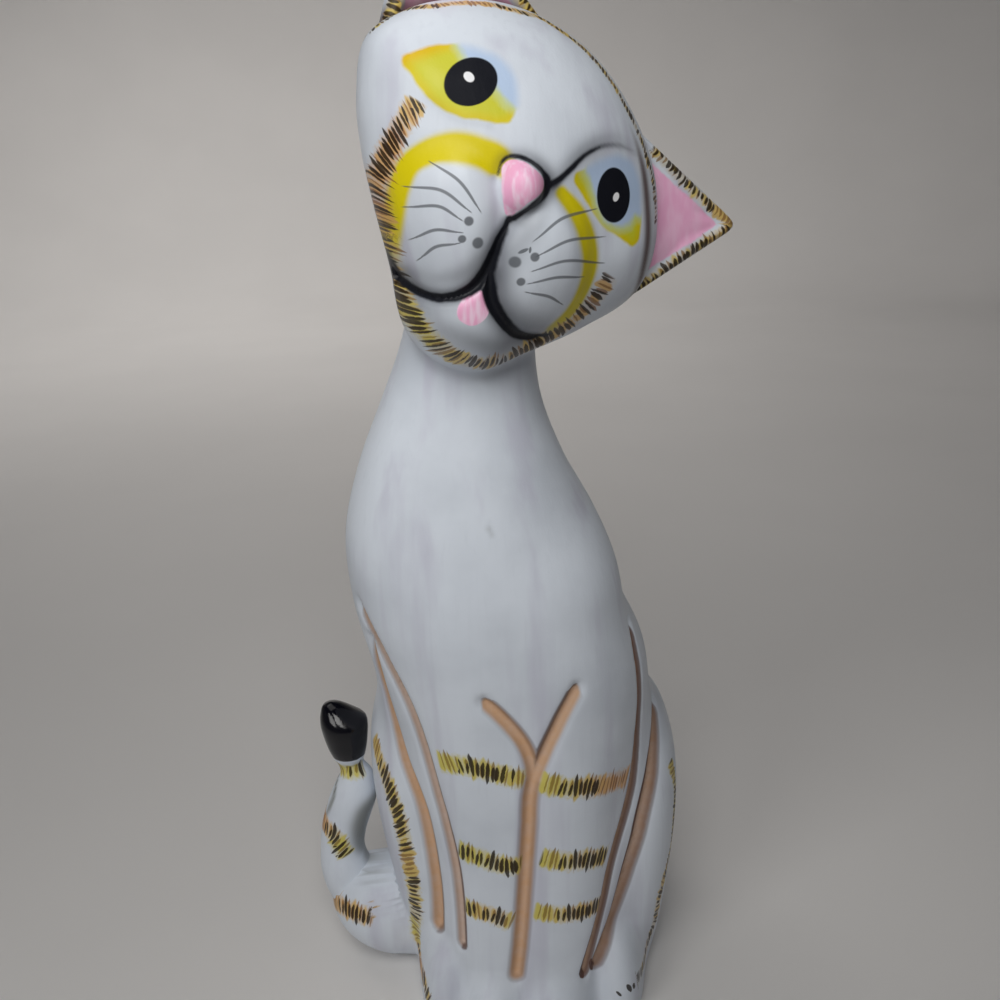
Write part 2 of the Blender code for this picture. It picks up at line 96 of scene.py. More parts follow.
def smooth_table(keys: np.ndarray, table: np.ndarray) -> np.ndarray:
    """Rows of a table at any keys, along the cubic that has each row's mean slope.

    Args:
        keys: Places on the table's first column, of any shape.
        table: Rows of key and values, with rising keys.

    Returns:
        The values at the keys, with the table's columns as last axis.
    """
    knots = table[:, 0]
    values = table[:, 1:]
    slopes = np.gradient(values, knots, axis=0)
    index = np.clip(np.searchsorted(knots, keys) - 1, 0, len(knots) - 2)
    width = knots[index + 1] - knots[index]
    share = np.clip((keys - knots[index]) / width, 0.0, 1.0)[..., None]
    width = width[..., None]
    start_pull = (share ** 3 - 2 * share ** 2 + share) * width * slopes[index]
    end_pull = (share ** 3 - share ** 2) * width * slopes[index + 1]
    blend = 3 * share ** 2 - 2 * share ** 3
    return values[index] * (1 - blend) + values[index + 1] * blend + start_pull + end_pull


def run_length(rows: np.ndarray) -> np.ndarray:
    """Length along a line of points, from its start to each of them."""
    return np.concatenate([[0.0], np.cumsum(np.linalg.norm(np.diff(rows, axis=0), axis=1))])


def unit(rows: np.ndarray) -> np.ndarray:
    """Rows scaled to a length of one."""
    return rows / (np.linalg.norm(rows, axis=-1, keepdims=True) + TINY)


def in_metres(rows: Sequence, *columns: int) -> np.ndarray:
    """Rows with some of their columns turned from millimetres into metres."""
    made = np.array(rows, float)
    made[:, list(columns)] *= MM
    return made


def smooth_path(points: Sequence, spacing: float, axes: int = 3) -> np.ndarray:
    """Points along the smooth curve through some points, evenly by length.

    Args:
        points: Rows of place and any further values that ride along.
        spacing: Length between two points of the result.
        axes: How many of the leading columns are the place.

    Returns:
        The finer rows.
    """
    rows = np.asarray(points, float)
    length = run_length(rows[:, :axes])
    count = max(int(length[-1] / spacing), 4)
    return smooth_table(np.linspace(0.0, length[-1], count), np.column_stack([length, rows]))


def smooth_loop(points: Sequence, spacing: float) -> np.ndarray:
    """Points along the smooth closed curve through some points of a plane."""
    rows = np.asarray(points, float)
    wrapped = np.vstack([rows[-2:], rows, rows[:3]])
    length = run_length(wrapped)
    keys = np.arange(length[2], length[-3], spacing)
    return smooth_table(keys, np.column_stack([length, wrapped]))


def ellipsoid(point: np.ndarray, centre: Sequence[float], radii: Sequence[float]) -> np.ndarray:
    """Near-distance to an ellipsoid: its scaled size times one less than it, over its slope."""
    offset = point - np.asarray(centre)
    scale = np.asarray(radii)
    size = np.linalg.norm(offset / scale, axis=-1)
    slope = np.linalg.norm(offset / scale ** 2, axis=-1) + 1e-9
    return size * (size - 1.0) / slope


def soft_step(value: np.ndarray, low: float, high: float) -> np.ndarray:
    """0 up to low, 1 from high on, and three squares less two cubes between."""
    share = np.clip((value - low) / (high - low), 0.0, 1.0)
    return share * share * (3.0 - 2.0 * share)


def turned(offset: np.ndarray, tilt: float) -> tuple[np.ndarray, np.ndarray]:
    """Offsets in a plane, across and along an axis tilted from upright by some degrees."""
    cosine = math.cos(math.radians(tilt))
    sine = math.sin(math.radians(tilt))
    across = cosine * offset[..., 0] + sine * offset[..., 1]
    along = cosine * offset[..., 1] - sine * offset[..., 0]
    return across, along


def loop_depth(points: np.ndarray, loop: np.ndarray) -> np.ndarray:
    """Depth of points inside a closed loop of a plane, negative outside.

    Args:
        points: Places in the plane, one row each.
        loop: Corners of the loop, one row each.

    Returns:
        The distance to the nearest side, positive where a ray crosses the loop an odd number of times.
    """
    start = loop[None]
    side = np.roll(loop, -1, axis=0)[None] - start
    offset = points[:, None] - start
    share = np.clip((offset * side).sum(-1) / (side * side).sum(-1), 0.0, 1.0)
    away = np.linalg.norm(offset - share[..., None] * side, axis=-1).min(axis=1)
    end = start + side
    spans = (start[..., 1] > points[:, None, 1]) != (end[..., 1] > points[:, None, 1])
    rise = np.where(np.abs(side[..., 1]) < TINY, TINY, side[..., 1])
    crossing = start[..., 0] + (points[:, None, 1] - start[..., 1]) / rise * side[..., 0]
    inside = (spans & (points[:, None, 0] < crossing)).sum(axis=1) % 2 == 1
    return np.where(inside, away, -away)


# ---------------------------------------------------------------- mesh
def ring_mesh(name: str, points: np.ndarray, material: bpy.types.Material,
              closed: bool = True) -> bpy.types.Mesh:
    """Mesh of quads between rings of points, with a fan over the first ring and, if closed, the last.

    Args:
        name: Name of the mesh.
        points: Grid of rows, columns and place, whose columns run all the way round.
        material: Finish of the whole mesh.
        closed: Whether the last ring is closed as well, and all faces are turned outwards.

    Returns:
        The mesh.
    """
    rows, columns = points.shape[:2]
    first = np.arange(rows * columns).reshape(rows, columns)
    after = np.roll(first, -1, axis=1)
    quads = np.stack([first[:-1], after[:-1], after[1:], first[1:]], -1).reshape(-1, 4)
    fans = [np.stack([after[0], first[0], np.full(columns, first.size)], -1)]
    if closed:
        fans.append(np.stack([first[-1], after[-1], np.full(columns, first.size + 1)], -1))
    poles = [points[0].mean(axis=0), points[-1].mean(axis=0)][:len(fans)]
    mesh = bpy.data.meshes.new(name)
    mesh.from_pydata(np.vstack([points.reshape(-1, 3)] + poles).tolist(), [],
                     quads.tolist() + np.vstack(fans).tolist())
    mesh.materials.append(material)
    if closed:
        work = bmesh.new()
        work.from_mesh(mesh)
        bmesh.ops.recalc_face_normals(work, faces=work.faces)
        work.to_mesh(mesh)
        work.free()
    return mesh


def add_object(name: str, mesh: bpy.types.Mesh) -> bpy.types.Object:
    """Object at the origin that holds the mesh, linked to the scene."""
    made = bpy.data.objects.new(name, mesh)
    bpy.context.scene.collection.objects.link(made)
    return made


def read_all(items: bpy.types.bpy_prop_collection, name: str, width: int = 1,
             kind: type = np.float32) -> np.ndarray:
    """One property of all items of a mesh, one row each."""
    flat = np.empty(width * len(items), kind)
    items.foreach_get(name, flat)
    return flat if width == 1 else flat.reshape(-1, width).astype(float)


def write_attribute(mesh: bpy.types.Mesh, name: str, values: np.ndarray) -> None:
    """Keeps a number or three per vertex under a name that the finishes read."""
    kind = "FLOAT" if values.ndim == 1 else "FLOAT_VECTOR"
    layer = mesh.attributes.new(name, kind, "POINT")
    layer.data.foreach_set("value" if values.ndim == 1 else "vector", values.astype(np.float32).ravel())


# ---------------------------------------------------------------- solids of the body
@dataclass(frozen=True)
class Torso:
    """Stack of rounded sections from the seat to the neck.

    Attributes:
        sections: Rows of height, centre x, half width, front y and back y.
        power: Power of the sections' rounded outline, where 2 is an ellipse.
    """

    sections: tuple = (
        (-0.010, 0.0010, 0.0400, -0.034, 0.056),
        (0.040, 0.0020, 0.0430, -0.037, 0.062),
        (0.085, 0.0010, 0.0470, -0.041, 0.062),
        (0.120, -0.0005, 0.0515, -0.044, 0.058),
        (0.150, -0.0038, 0.0534, -0.046, 0.053),
        (0.178, -0.0120, 0.0500, -0.046, 0.046),
        (0.205, -0.0156, 0.0466, -0.043, 0.038),
        (0.230, -0.0185, 0.0368, -0.036, 0.032),
        (0.250, -0.0178, 0.0290, -0.028, 0.028),
        (0.268, -0.0150, 0.0242, -0.024, 0.025),
        (0.300, -0.0080, 0.0220, -0.023, 0.023),
        (0.330, 0.0000, 0.0200, -0.023, 0.020),
    )
    power: float = 2.25

    def field(self, point: np.ndarray) -> np.ndarray:
        """Near-distance: the power mean of both scaled offsets, less one, times the lesser half width."""
        section = smooth_table(point[..., 2], np.array(self.sections))
        middle = 0.5 * (section[..., 2] + section[..., 3])
        half_depth = 0.5 * (section[..., 3] - section[..., 2])
        across = np.abs(point[..., 0] - section[..., 0]) / section[..., 1]
        fore = np.abs(point[..., 1] - middle) / half_depth
        size = (across ** self.power + fore ** self.power) ** (1.0 / self.power)
        sides = (size - 1.0) * np.minimum(section[..., 1], half_depth)
        return np.maximum(sides, point[..., 2] - self.sections[-1][0])


@dataclass(frozen=True)
class Haunch:
    """Boxy egg of one hind leg, leaning sideways as it rises."""

    centre: tuple
    radii: tuple
    power: float
    lean: float

    def field(self, point: np.ndarray) -> np.ndarray:
        """Near-distance: the power mean of the scaled offsets, less one, times the least radius."""
        offset = point - np.asarray(self.centre)
        sideways = offset[..., 0] - self.lean * offset[..., 2]
        share = np.abs(np.stack([sideways, offset[..., 1], offset[..., 2]], -1)) / np.asarray(self.radii)
        return ((share ** self.power).sum(-1) ** (1.0 / self.power) - 1.0) * min(self.radii)


@dataclass(frozen=True)
class Paw:
    """Ellipsoid of one paw."""

    centre: tuple
    radii: tuple

    def field(self, point: np.ndarray) -> np.ndarray:
        """Near-distance to the paw."""
        return ellipsoid(point, self.centre, self.radii)


@dataclass(frozen=True)
class Leg:
    """Tapered rod of one front leg."""

    top: tuple
    foot: tuple
    top_radius: float
    foot_radius: float

    def field(self, point: np.ndarray) -> np.ndarray:
        """Distance to the nearest point of the axis, less the radius there."""
        start = np.asarray(self.top)
        axis = np.asarray(self.foot) - start
        along = np.clip(((point - start) @ axis) / (axis @ axis), 0.0, 1.0)
        away = np.linalg.norm(point - start - along[..., None] * axis, axis=-1)
        return away - (self.top_radius + (self.foot_radius - self.top_radius) * along)


@dataclass(frozen=True)
class Bump:
    """Muzzle lobe, nose or chin: an ellipsoid that stands out of the face's dome."""

    centre: tuple
    radii: tuple
    tilt: float
    rise: float
    blend: float


@dataclass(frozen=True)
class Hollow:
    """Shallow dish round an eye."""

    centre: tuple
    halves: tuple
    tilt: float
    depth: float


@dataclass(frozen=True)
class Groove:
    """Gouged line on the chest or flank.

    Attributes:
        half_width: Distance from the middle at which the depth has fallen to a third.
        depth: Depth in the middle.
        route: Bearings in degrees, 0 ahead and more towards +X, and heights.
    """

    half_width: float
    depth: float
    route: tuple


@dataclass(frozen=True)
class Head:
    """Domed head that tips over to one side, with its muzzle, nose and chin."""

    centre: tuple = (0.000, -0.020, 0.3225)
    roll: float = 38.0
    yaw: float = 16.0
    front: float = 0.034
    back: float = 0.042
    outline_rows: tuple = (
        (0, 0.0555), (32, 0.0505), (65, 0.0465), (100, 0.0485), (140, 0.0552), (158, 0.0588),
        (170, 0.0602), (184, 0.0535), (200, 0.0466), (226, 0.0416), (250, 0.0444), (274, 0.0566),
        (292, 0.0590), (312, 0.0525), (336, 0.0515),
    )
    bumps: tuple = (
        Bump((-0.0178, -0.0220), (0.0182, 0.0238, 0.0125), 26.0, 0.0060, 0.0020),
        Bump((0.0162, -0.0160), (0.0182, 0.0246, 0.0125), 36.0, 0.0058, 0.0020),
        Bump((-0.0054, -0.0016), (0.0072, 0.0082, 0.0085), 30.0, 0.0058, 0.0014),
        Bump((0.0080, -0.0450), (0.0200, 0.0110, 0.0125), -8.0, 0.0035, 0.0060),
    )
    bump_edge: float = 0.90
    bump_fade: float = 0.5
    hollows: tuple = (
        Hollow((-0.0330, 0.0110), (0.0170, 0.0120), 20.0, 0.0010),
        Hollow((0.0220, 0.0130), (0.0165, 0.0150), 60.0, 0.0022),
    )
    mouth: tuple = (
        ((-0.0147, -0.0415), (-0.0099, -0.0424), (-0.0053, -0.0410), (-0.0015, -0.0375),
         (0.0012, -0.0318), (0.0011, -0.0264), (0.0001, -0.0228), (-0.0017, -0.0170),
         (-0.0019, -0.0120)),
        ((0.0024, -0.0265), (0.0077, -0.0320), (0.0146, -0.0348), (0.0234, -0.0354),
         (0.0315, -0.0323)),
    )
    mouth_half_width: float = 0.0017
    mouth_depth: float = 0.0024

    def axes(self) -> np.ndarray:
        """Rows: across the face, up the face, and out of the face."""
        yaw = math.radians(self.yaw)
        roll = math.radians(self.roll)
        across = np.array((math.cos(yaw), math.sin(yaw), 0.0))
        out = np.array((math.sin(yaw), -math.cos(yaw), 0.0))
        up = np.array((0.0, 0.0, 1.0))
        turned_across = math.cos(roll) * across - math.sin(roll) * up
        turned_up = math.cos(roll) * up + math.sin(roll) * across
        return np.array((turned_across, turned_up, out))

    def local(self, point: np.ndarray) -> np.ndarray:
        """Places in the head's own axes."""
        return (point - np.asarray(self.centre)) @ self.axes().T

    def world(self, local: np.ndarray) -> np.ndarray:
        """Places in the figure's axes."""
        return np.asarray(self.centre) + local @ self.axes()

    def outline(self, bearing: np.ndarray) -> np.ndarray:
        """Reach of the head's outline in directions of the face's plane, in radians."""
        degrees = np.degrees(bearing) % 360.0
        rows = np.array(self.outline_rows)
        wrapped = np.concatenate([rows[-2:] - (360, 0), rows, rows[:2] + (360, 0)])
        return smooth_table(degrees, wrapped)[..., 0]

    def share(self, local: np.ndarray) -> np.ndarray:
        """Distance from the head's axis as a share of the outline in that direction."""
        bearing = np.arctan2(local[..., 1], local[..., 0])
        return np.hypot(local[..., 0], local[..., 1]) / self.outline(bearing)

    def field(self, point: np.ndarray) -> np.ndarray:
        """Near-distance to the head.

        Args:
            point: Places in the figure's axes.

        Returns:
            The domed body's scaled size less one, times the distance over the size, dished round the
            eyes and joined smoothly with the bumps, which stand on the dome's height at their place.
        """
        local = self.local(point)
        share = self.share(local)
        depth = np.where(local[..., 2] > 0.0, self.front, self.back)
        size = np.sqrt(share ** 2 + (local[..., 2] / depth) ** 2) + 1e-9
        field = (size - 1.0) * np.linalg.norm(local, axis=-1) / size
        dome = self.front * np.sqrt(np.clip(1.0 - share ** 2, 0.0, 1.0))
        front = local[..., 2] > 0.0
        for hollow in self.hollows:
            right, high = turned(local[..., :2] - hollow.centre, hollow.tilt)
            away = (right / hollow.halves[0]) ** 2 + (high / hollow.halves[1]) ** 2
            field = field + np.where(front, hollow.depth * np.exp(-away ** 2), 0.0)
        for bump in self.bumps:
            right, high = turned(local[..., :2] - bump.centre, bump.tilt)
            place = np.stack([right, high, local[..., 2] - dome], -1)
            raised = ellipsoid(place, (0.0, 0.0, bump.rise - bump.radii[2]), bump.radii)
            raised = raised + self.bump_fade * np.clip(share - self.bump_edge, 0.0, None) ** 2
            field = smooth_union(field, np.where(front, raised, 1.0), bump.blend)
        return field


@dataclass(frozen=True)
class Trunk:
    """One skin from the underside through body and neck to the crown."""

    torso: Torso = Torso()
    head: Head = Head()
    haunches: tuple = (
        Haunch((-0.0300, 0.016, 0.054), (0.0279, 0.043, 0.080), 2.7, -0.150),
        Haunch((0.0358, 0.017, 0.0445), (0.0270, 0.042, 0.0780), 2.7, 0.105),
    )
    tail_root: Haunch = Haunch((-0.0584, 0.005, 0.0226), (0.0252, 0.022, 0.0217), 2.0, -0.27)
    paws: tuple = (
        Paw((-0.0330, -0.018, 0.008), (0.0125, 0.026, 0.028)),
        Paw((0.0360, -0.018, 0.008), (0.0130, 0.026, 0.028)),
        Paw((-0.0145, -0.034, 0.002), (0.0140, 0.021, 0.024)),
        Paw((0.0120, -0.034, 0.002), (0.0150, 0.021, 0.024)),
    )
    legs: tuple = (
        Leg((-0.013, -0.015, 0.180), (-0.0150, -0.031, -0.010), 0.0245, 0.0125),
        Leg((0.010, -0.015, 0.180), (0.0120, -0.031, -0.010), 0.0245, 0.0150),
    )
    grooves: tuple = (
        Groove(0.0027, 0.0025, ((5.1, 0.118), (3.1, 0.1123), (0.9, 0.102), (-0.8, 0.0883),
                                (-2.4, 0.0742), (-4.1, 0.0597), (-6.4, 0.0423), (-8.9, 0.0269))),
        Groove(0.0024, 0.0025, ((-9.0, 0.1523), (-4.7, 0.1477), (-0.7, 0.1426), (2.8, 0.1371),
                                (5.1, 0.131), (5.9, 0.1245), (5.1, 0.118))),
        Groove(0.0024, 0.0026, ((28.3, 0.1549), (24.8, 0.1504), (20.8, 0.1449), (17.4, 0.1395),
                                (13.9, 0.1339), (9.6, 0.1265), (5.1, 0.118))),
        Groove(0.0024, 0.0023, ((-63.0, 0.1811), (-58.6, 0.1756), (-54.0, 0.168), (-50.6, 0.159),
                                (-47.6, 0.1518), (-45.2, 0.1455), (-43.0, 0.1371), (-41.6, 0.1288),
                                (-40.3, 0.117), (-39.1, 0.1066), (-37.3, 0.0962), (-35.3, 0.0855),
                                (-33.9, 0.0743), (-33.5, 0.0624), (-33.8, 0.0478), (-34.3, 0.038))),
        Groove(0.0028, 0.0026, ((-60.5, 0.1671), (-62.5, 0.1566), (-63.6, 0.1471), (-63.4, 0.1379),
                                (-61.6, 0.127), (-58.4, 0.1144), (-54.2, 0.1049), (-50.7, 0.0951),
                                (-48.8, 0.0841), (-47.9, 0.0723), (-47.7, 0.0613), (-48.5, 0.050),
                                (-50.1, 0.0393))),
        Groove(0.0019, 0.0025, ((70.1, 0.1658), (65.6, 0.156), (63.9, 0.1444), (63.2, 0.1332),
                                (60.9, 0.1186), (56.4, 0.1019), (51.3, 0.0896), (45.8, 0.0789),
                                (40.6, 0.0674), (36.2, 0.054), (31.4, 0.0432), (27.2, 0.0346),
                                (23.2, 0.0255))),
        Groove(0.0025, 0.0025, ((88.0, 0.1226), (80.0, 0.1169), (72.3, 0.108), (66.2, 0.0975),
                                (61.1, 0.0862), (57.0, 0.0739), (53.2, 0.0634), (49.3, 0.0523),
                                (44.0, 0.0414), (37.2, 0.0333), (30.6, 0.0262))),
    )
    spine: tuple = (
        (0.003, 0.004, -UNDERSIDE_MARGIN, 0.0),
        (0.001, 0.004, 0.100, 0.0),
        (-0.006, 0.003, 0.160, 1.0),
        (-0.014, 0.000, 0.210, 6.0),
        (-0.016, -0.004, 0.248, 14.0),
        (-0.012, -0.010, 0.280, 25.0),
        (-0.006, -0.015, 0.303, 33.0),
        (0.000, -0.018, 0.322, 38.0),
    )
    columns: int = 256
    body_rows: int = 132
    neck_rows: int = 98
    crown_rows: int = 74
    body_share: float = 0.70
    front_crowding: float = 0.45
    neck_blend: float = 0.005
    leg_blend: float = 0.014
    haunch_blend: float = 0.009
    paw_blend: float = 0.006
    root_blend: float = 0.004
    ray_reach: float = 0.100
    trace_steps: int = 40
    trace_caution: float = 0.8
    trace_nearest: float = 0.002
    girth: float = 0.045
    groove_reach: float = 3.0
    face_share: float = 1.1

    def field(self, point: np.ndarray) -> np.ndarray:
        """Near-distance to the smooth union of torso, legs, haunches, paws and head."""
        field = self.torso.field(point)
        joined = [(leg, self.leg_blend) for leg in self.legs]
        joined += [(haunch, self.haunch_blend) for haunch in self.haunches]
        joined += [(paw, self.paw_blend) for paw in self.paws]
        joined += [(self.tail_root, self.root_blend), (self.head, self.neck_blend)]
        for solid, blend in joined:
            field = smooth_union(field, solid.field(point), blend)
        return field

    def trace(self, origin: np.ndarray, direction: np.ndarray) -> np.ndarray:
        """Distance along rays to the surface, walked inwards by a share of the field at each step."""
        distance = np.full(origin.shape[:-1], self.ray_reach)
        for _ in range(self.trace_steps):
            step = self.trace_caution * self.field(origin + distance[..., None] * direction)
            distance = np.maximum(distance - step, self.trace_nearest)
        return distance

    def rays(self) -> tuple[np.ndarray, np.ndarray]:
        """Origins and directions of the skin's rays, row by row from the underside to the crown.

        Returns:
            Two grids. A row's rays leave one point of the spine, flat across it, and in the crown they
            rise together. Their bearing runs round once, crowded on the front by a sine of itself.
        """
        turn = np.linspace(0.0, 2.0 * np.pi, self.columns, endpoint=False)
        bearing = turn - self.front_crowding * np.sin(turn) - 0.5 * np.pi
        spine = np.array(self.spine)
        table = np.column_stack([run_length(spine[:, :3]), spine])
        length = table[-1, 0]
        body_end = self.body_share * length
        stations = np.concatenate([np.linspace(0.0, body_end, self.body_rows, endpoint=False),
                                   np.linspace(body_end, length, self.neck_rows, endpoint=False)])
        rising = np.linspace(0.0, 0.5 * np.pi, self.crown_rows, endpoint=False)
        rows = smooth_table(np.concatenate([stations, np.full(self.crown_rows, length)]), table)
        tilt = np.concatenate([np.zeros(len(stations)), rising])[:, None, None]
        roll = np.radians(rows[:, 3])
        sideways = np.stack([np.cos(roll), 0 * roll, -np.sin(roll)], -1)[:, None]
        upwards = np.stack([np.sin(roll), 0 * roll, np.cos(roll)], -1)[:, None]
        back = np.array((0.0, 1.0, 0.0))
        flat = np.cos(bearing)[None, :, None] * sideways + np.sin(bearing)[None, :, None] * back
        direction = np.cos(tilt) * flat + np.sin(tilt) * upwards
        return np.broadcast_to(rows[:, None, :3], direction.shape), direction

    def skin_route(self, route: Sequence) -> np.ndarray:
        """Rows of place, and what rides along, on the ungrooved trunk.

        Args:
            route: Rows of bearing in degrees, height, and any further values.

        Returns:
            Rows of the place where a ray at that bearing and height lands, what rides along, and the
            ray's direction in the last three columns. They are spaced evenly as if the girth's radius
            were the same everywhere.
        """
        rows = np.asarray(route, float)
        flat = np.column_stack([np.radians(rows[:, 0]) * self.girth, rows[:, 1:]])
        fine = smooth_path(flat, FINE, axes=2)
        bearing = fine[:, 0] / self.girth
        spine = np.array(self.spine)
        origin = np.column_stack([np.interp(fine[:, 1], spine[:, 2], spine[:, 0]),
                                  np.interp(fine[:, 1], spine[:, 2], spine[:, 1]), fine[:, 1]])
        direction = np.column_stack([np.sin(bearing), -np.cos(bearing), 0.0 * bearing])
        place = origin + self.trace(origin, direction)[:, None] * direction
        return np.column_stack([place, fine[:, 2:], direction])

    def skin(self) -> np.ndarray:
        """Grid of the trunk's points, with grooves and mouth pressed in along the rays.

        Returns:
            Points whose ray is shortened by depth times the bell curve of the distance to the groove.
        """
        origin, direction = self.rays()
        distance = self.trace(origin, direction)
        points = origin + distance[..., None] * direction
        pressed = np.zeros_like(distance)
        for groove in self.grooves:
            path = self.skin_route(groove.route)[:, :3]
            reach = self.groove_reach * groove.half_width
            near = np.all((points > path.min(0) - reach) & (points < path.max(0) + reach), axis=-1)
            gaps = np.linalg.norm(points[near][:, None] - path[None], axis=-1).min(axis=1)
            depth = groove.depth * np.exp(-(gaps / groove.half_width) ** 2)
            pressed[near] = np.maximum(pressed[near], depth)
        local = self.head.local(points)
        front = (local[..., 2] > 0.0) & (self.head.share(local) < self.face_share)
        for route in self.head.mouth:
            path = smooth_path(route, FINE, axes=2)
            gaps = np.linalg.norm(local[front][:, None, :2] - path[None], axis=-1).min(axis=1)
            depth = self.head.mouth_depth * np.exp(-(gaps / self.head.mouth_half_width) ** 2)
            pressed[front] = np.maximum(pressed[front], depth)
        return origin + (distance - pressed)[..., None] * direction


@dataclass(frozen=True)
class Ear:
    """Flat-fronted ear, a triangle with rounded corners, dished inside its rim.

    Attributes:
        name: Which ear.
        place: Its middle in the head's axes.
        reaches: Distance from the middle to each of its three sides.
        sides: Direction of each side in degrees; the last is the base, inside the head.
    """

    name: str
    place: tuple
    reaches: tuple
    sides: tuple
    head: Head = Head()
    thickness: float = 0.0075
    hollow: float = 0.0022
    rim: float = 0.0052
    corner_power: float = 7.5
    edge_power: float = 0.6
    flat_start: float = 0.6
    columns: int = 112
    rows: int = 30
    pole: float = 0.10
    rim_spread: float = 118.0
    rim_points: int = 160
    hair_inset: float = 0.0024
    pink_inset: float = 0.0054

    def outline(self, turn: np.ndarray) -> np.ndarray:
        """Reach of the outline: the high power mean of cosine over reach for the three sides."""
        pull = np.zeros_like(turn)
        for reach, side in zip(self.reaches, self.sides):
            pull += (np.clip(np.cos(turn - math.radians(side)), 0.0, 1.0) / reach) ** self.corner_power
        return pull ** (-1.0 / self.corner_power)

    def height(self, swing: np.ndarray, outline: np.ndarray) -> np.ndarray:
        """Height over the ear's middle plane: a squared-off cosine, less the dish on the front."""
        share = np.sin(swing)
        flat = self.thickness * np.sign(np.cos(swing)) * np.abs(np.cos(swing)) ** self.edge_power
        inside = np.clip((1.0 - share) * outline / self.rim - self.flat_start, 0.0, 1.0)
        return flat - self.hollow * inside ** 2 * (3.0 - 2.0 * inside) * (np.cos(swing) > 0.0)

    def surface(self, turn: np.ndarray, swing: np.ndarray) -> np.ndarray:
        """Places at directions round the ear, and at swings from the front's middle to the back's."""
        outline = self.outline(turn)
        reach = np.sin(swing) * outline
        local = np.stack([reach * np.cos(turn), reach * np.sin(turn), self.height(swing, outline)], -1)
        return self.head.world(local + np.asarray(self.place))

    def skin(self) -> np.ndarray:
        """Grid of points, rows from the middle of the front round the edge to the middle of the back."""
        turn = np.linspace(0.0, 2.0 * np.pi, self.columns, endpoint=False)
        swing = np.linspace(self.pole, np.pi - self.pole, self.rows)[:, None]
        return self.surface(turn, swing)

    def rim_route(self) -> np.ndarray:
        """Rows of place and share along the two visible sides, a little in from the edge.

        Returns:
            Points on the rim's front from one end of the base over the tip to the other, with 0 at the
            base and 1 at the tip as last column.
        """
        first = self.sides[0]
        second = self.sides[1] if abs(self.sides[1] - first) < 180 else self.sides[1] + 360
        spread = math.radians(self.rim_spread)
        turn = np.linspace(-spread, spread, self.rim_points)
        angle = turn + math.radians(0.5 * (first + second))
        swing = np.arcsin(np.clip(1.0 - self.hair_inset / self.outline(angle), 0.0, 1.0))
        return np.column_stack([self.surface(angle, swing), 1.0 - np.abs(turn) / spread])

    def pink(self, point: np.ndarray) -> np.ndarray:
        """Depth inside the pink field, in metres: the least distance in from the two visible sides."""
        local = self.head.local(point) - np.asarray(self.place)
        depth = np.full(local.shape[0], 1.0)
        for reach, side in zip(self.reaches[:2], self.sides[:2]):
            angle = math.radians(side)
            out = local[:, 0] * math.cos(angle) + local[:, 1] * math.sin(angle)
            depth = np.minimum(depth, reach - self.pink_inset - out)
        return np.where(local[:, 2] > 0.0, depth, -1.0)

    def away(self, point: np.ndarray) -> np.ndarray:
        """Rough distance to the ear: how far outside its outline or its thickness a point is."""
        local = self.head.local(point) - np.asarray(self.place)
        turn = np.arctan2(local[:, 1], local[:, 0])
        over = np.hypot(local[:, 0], local[:, 1]) - self.outline(turn)
        return np.maximum(over, np.abs(local[:, 2]) - self.thickness)


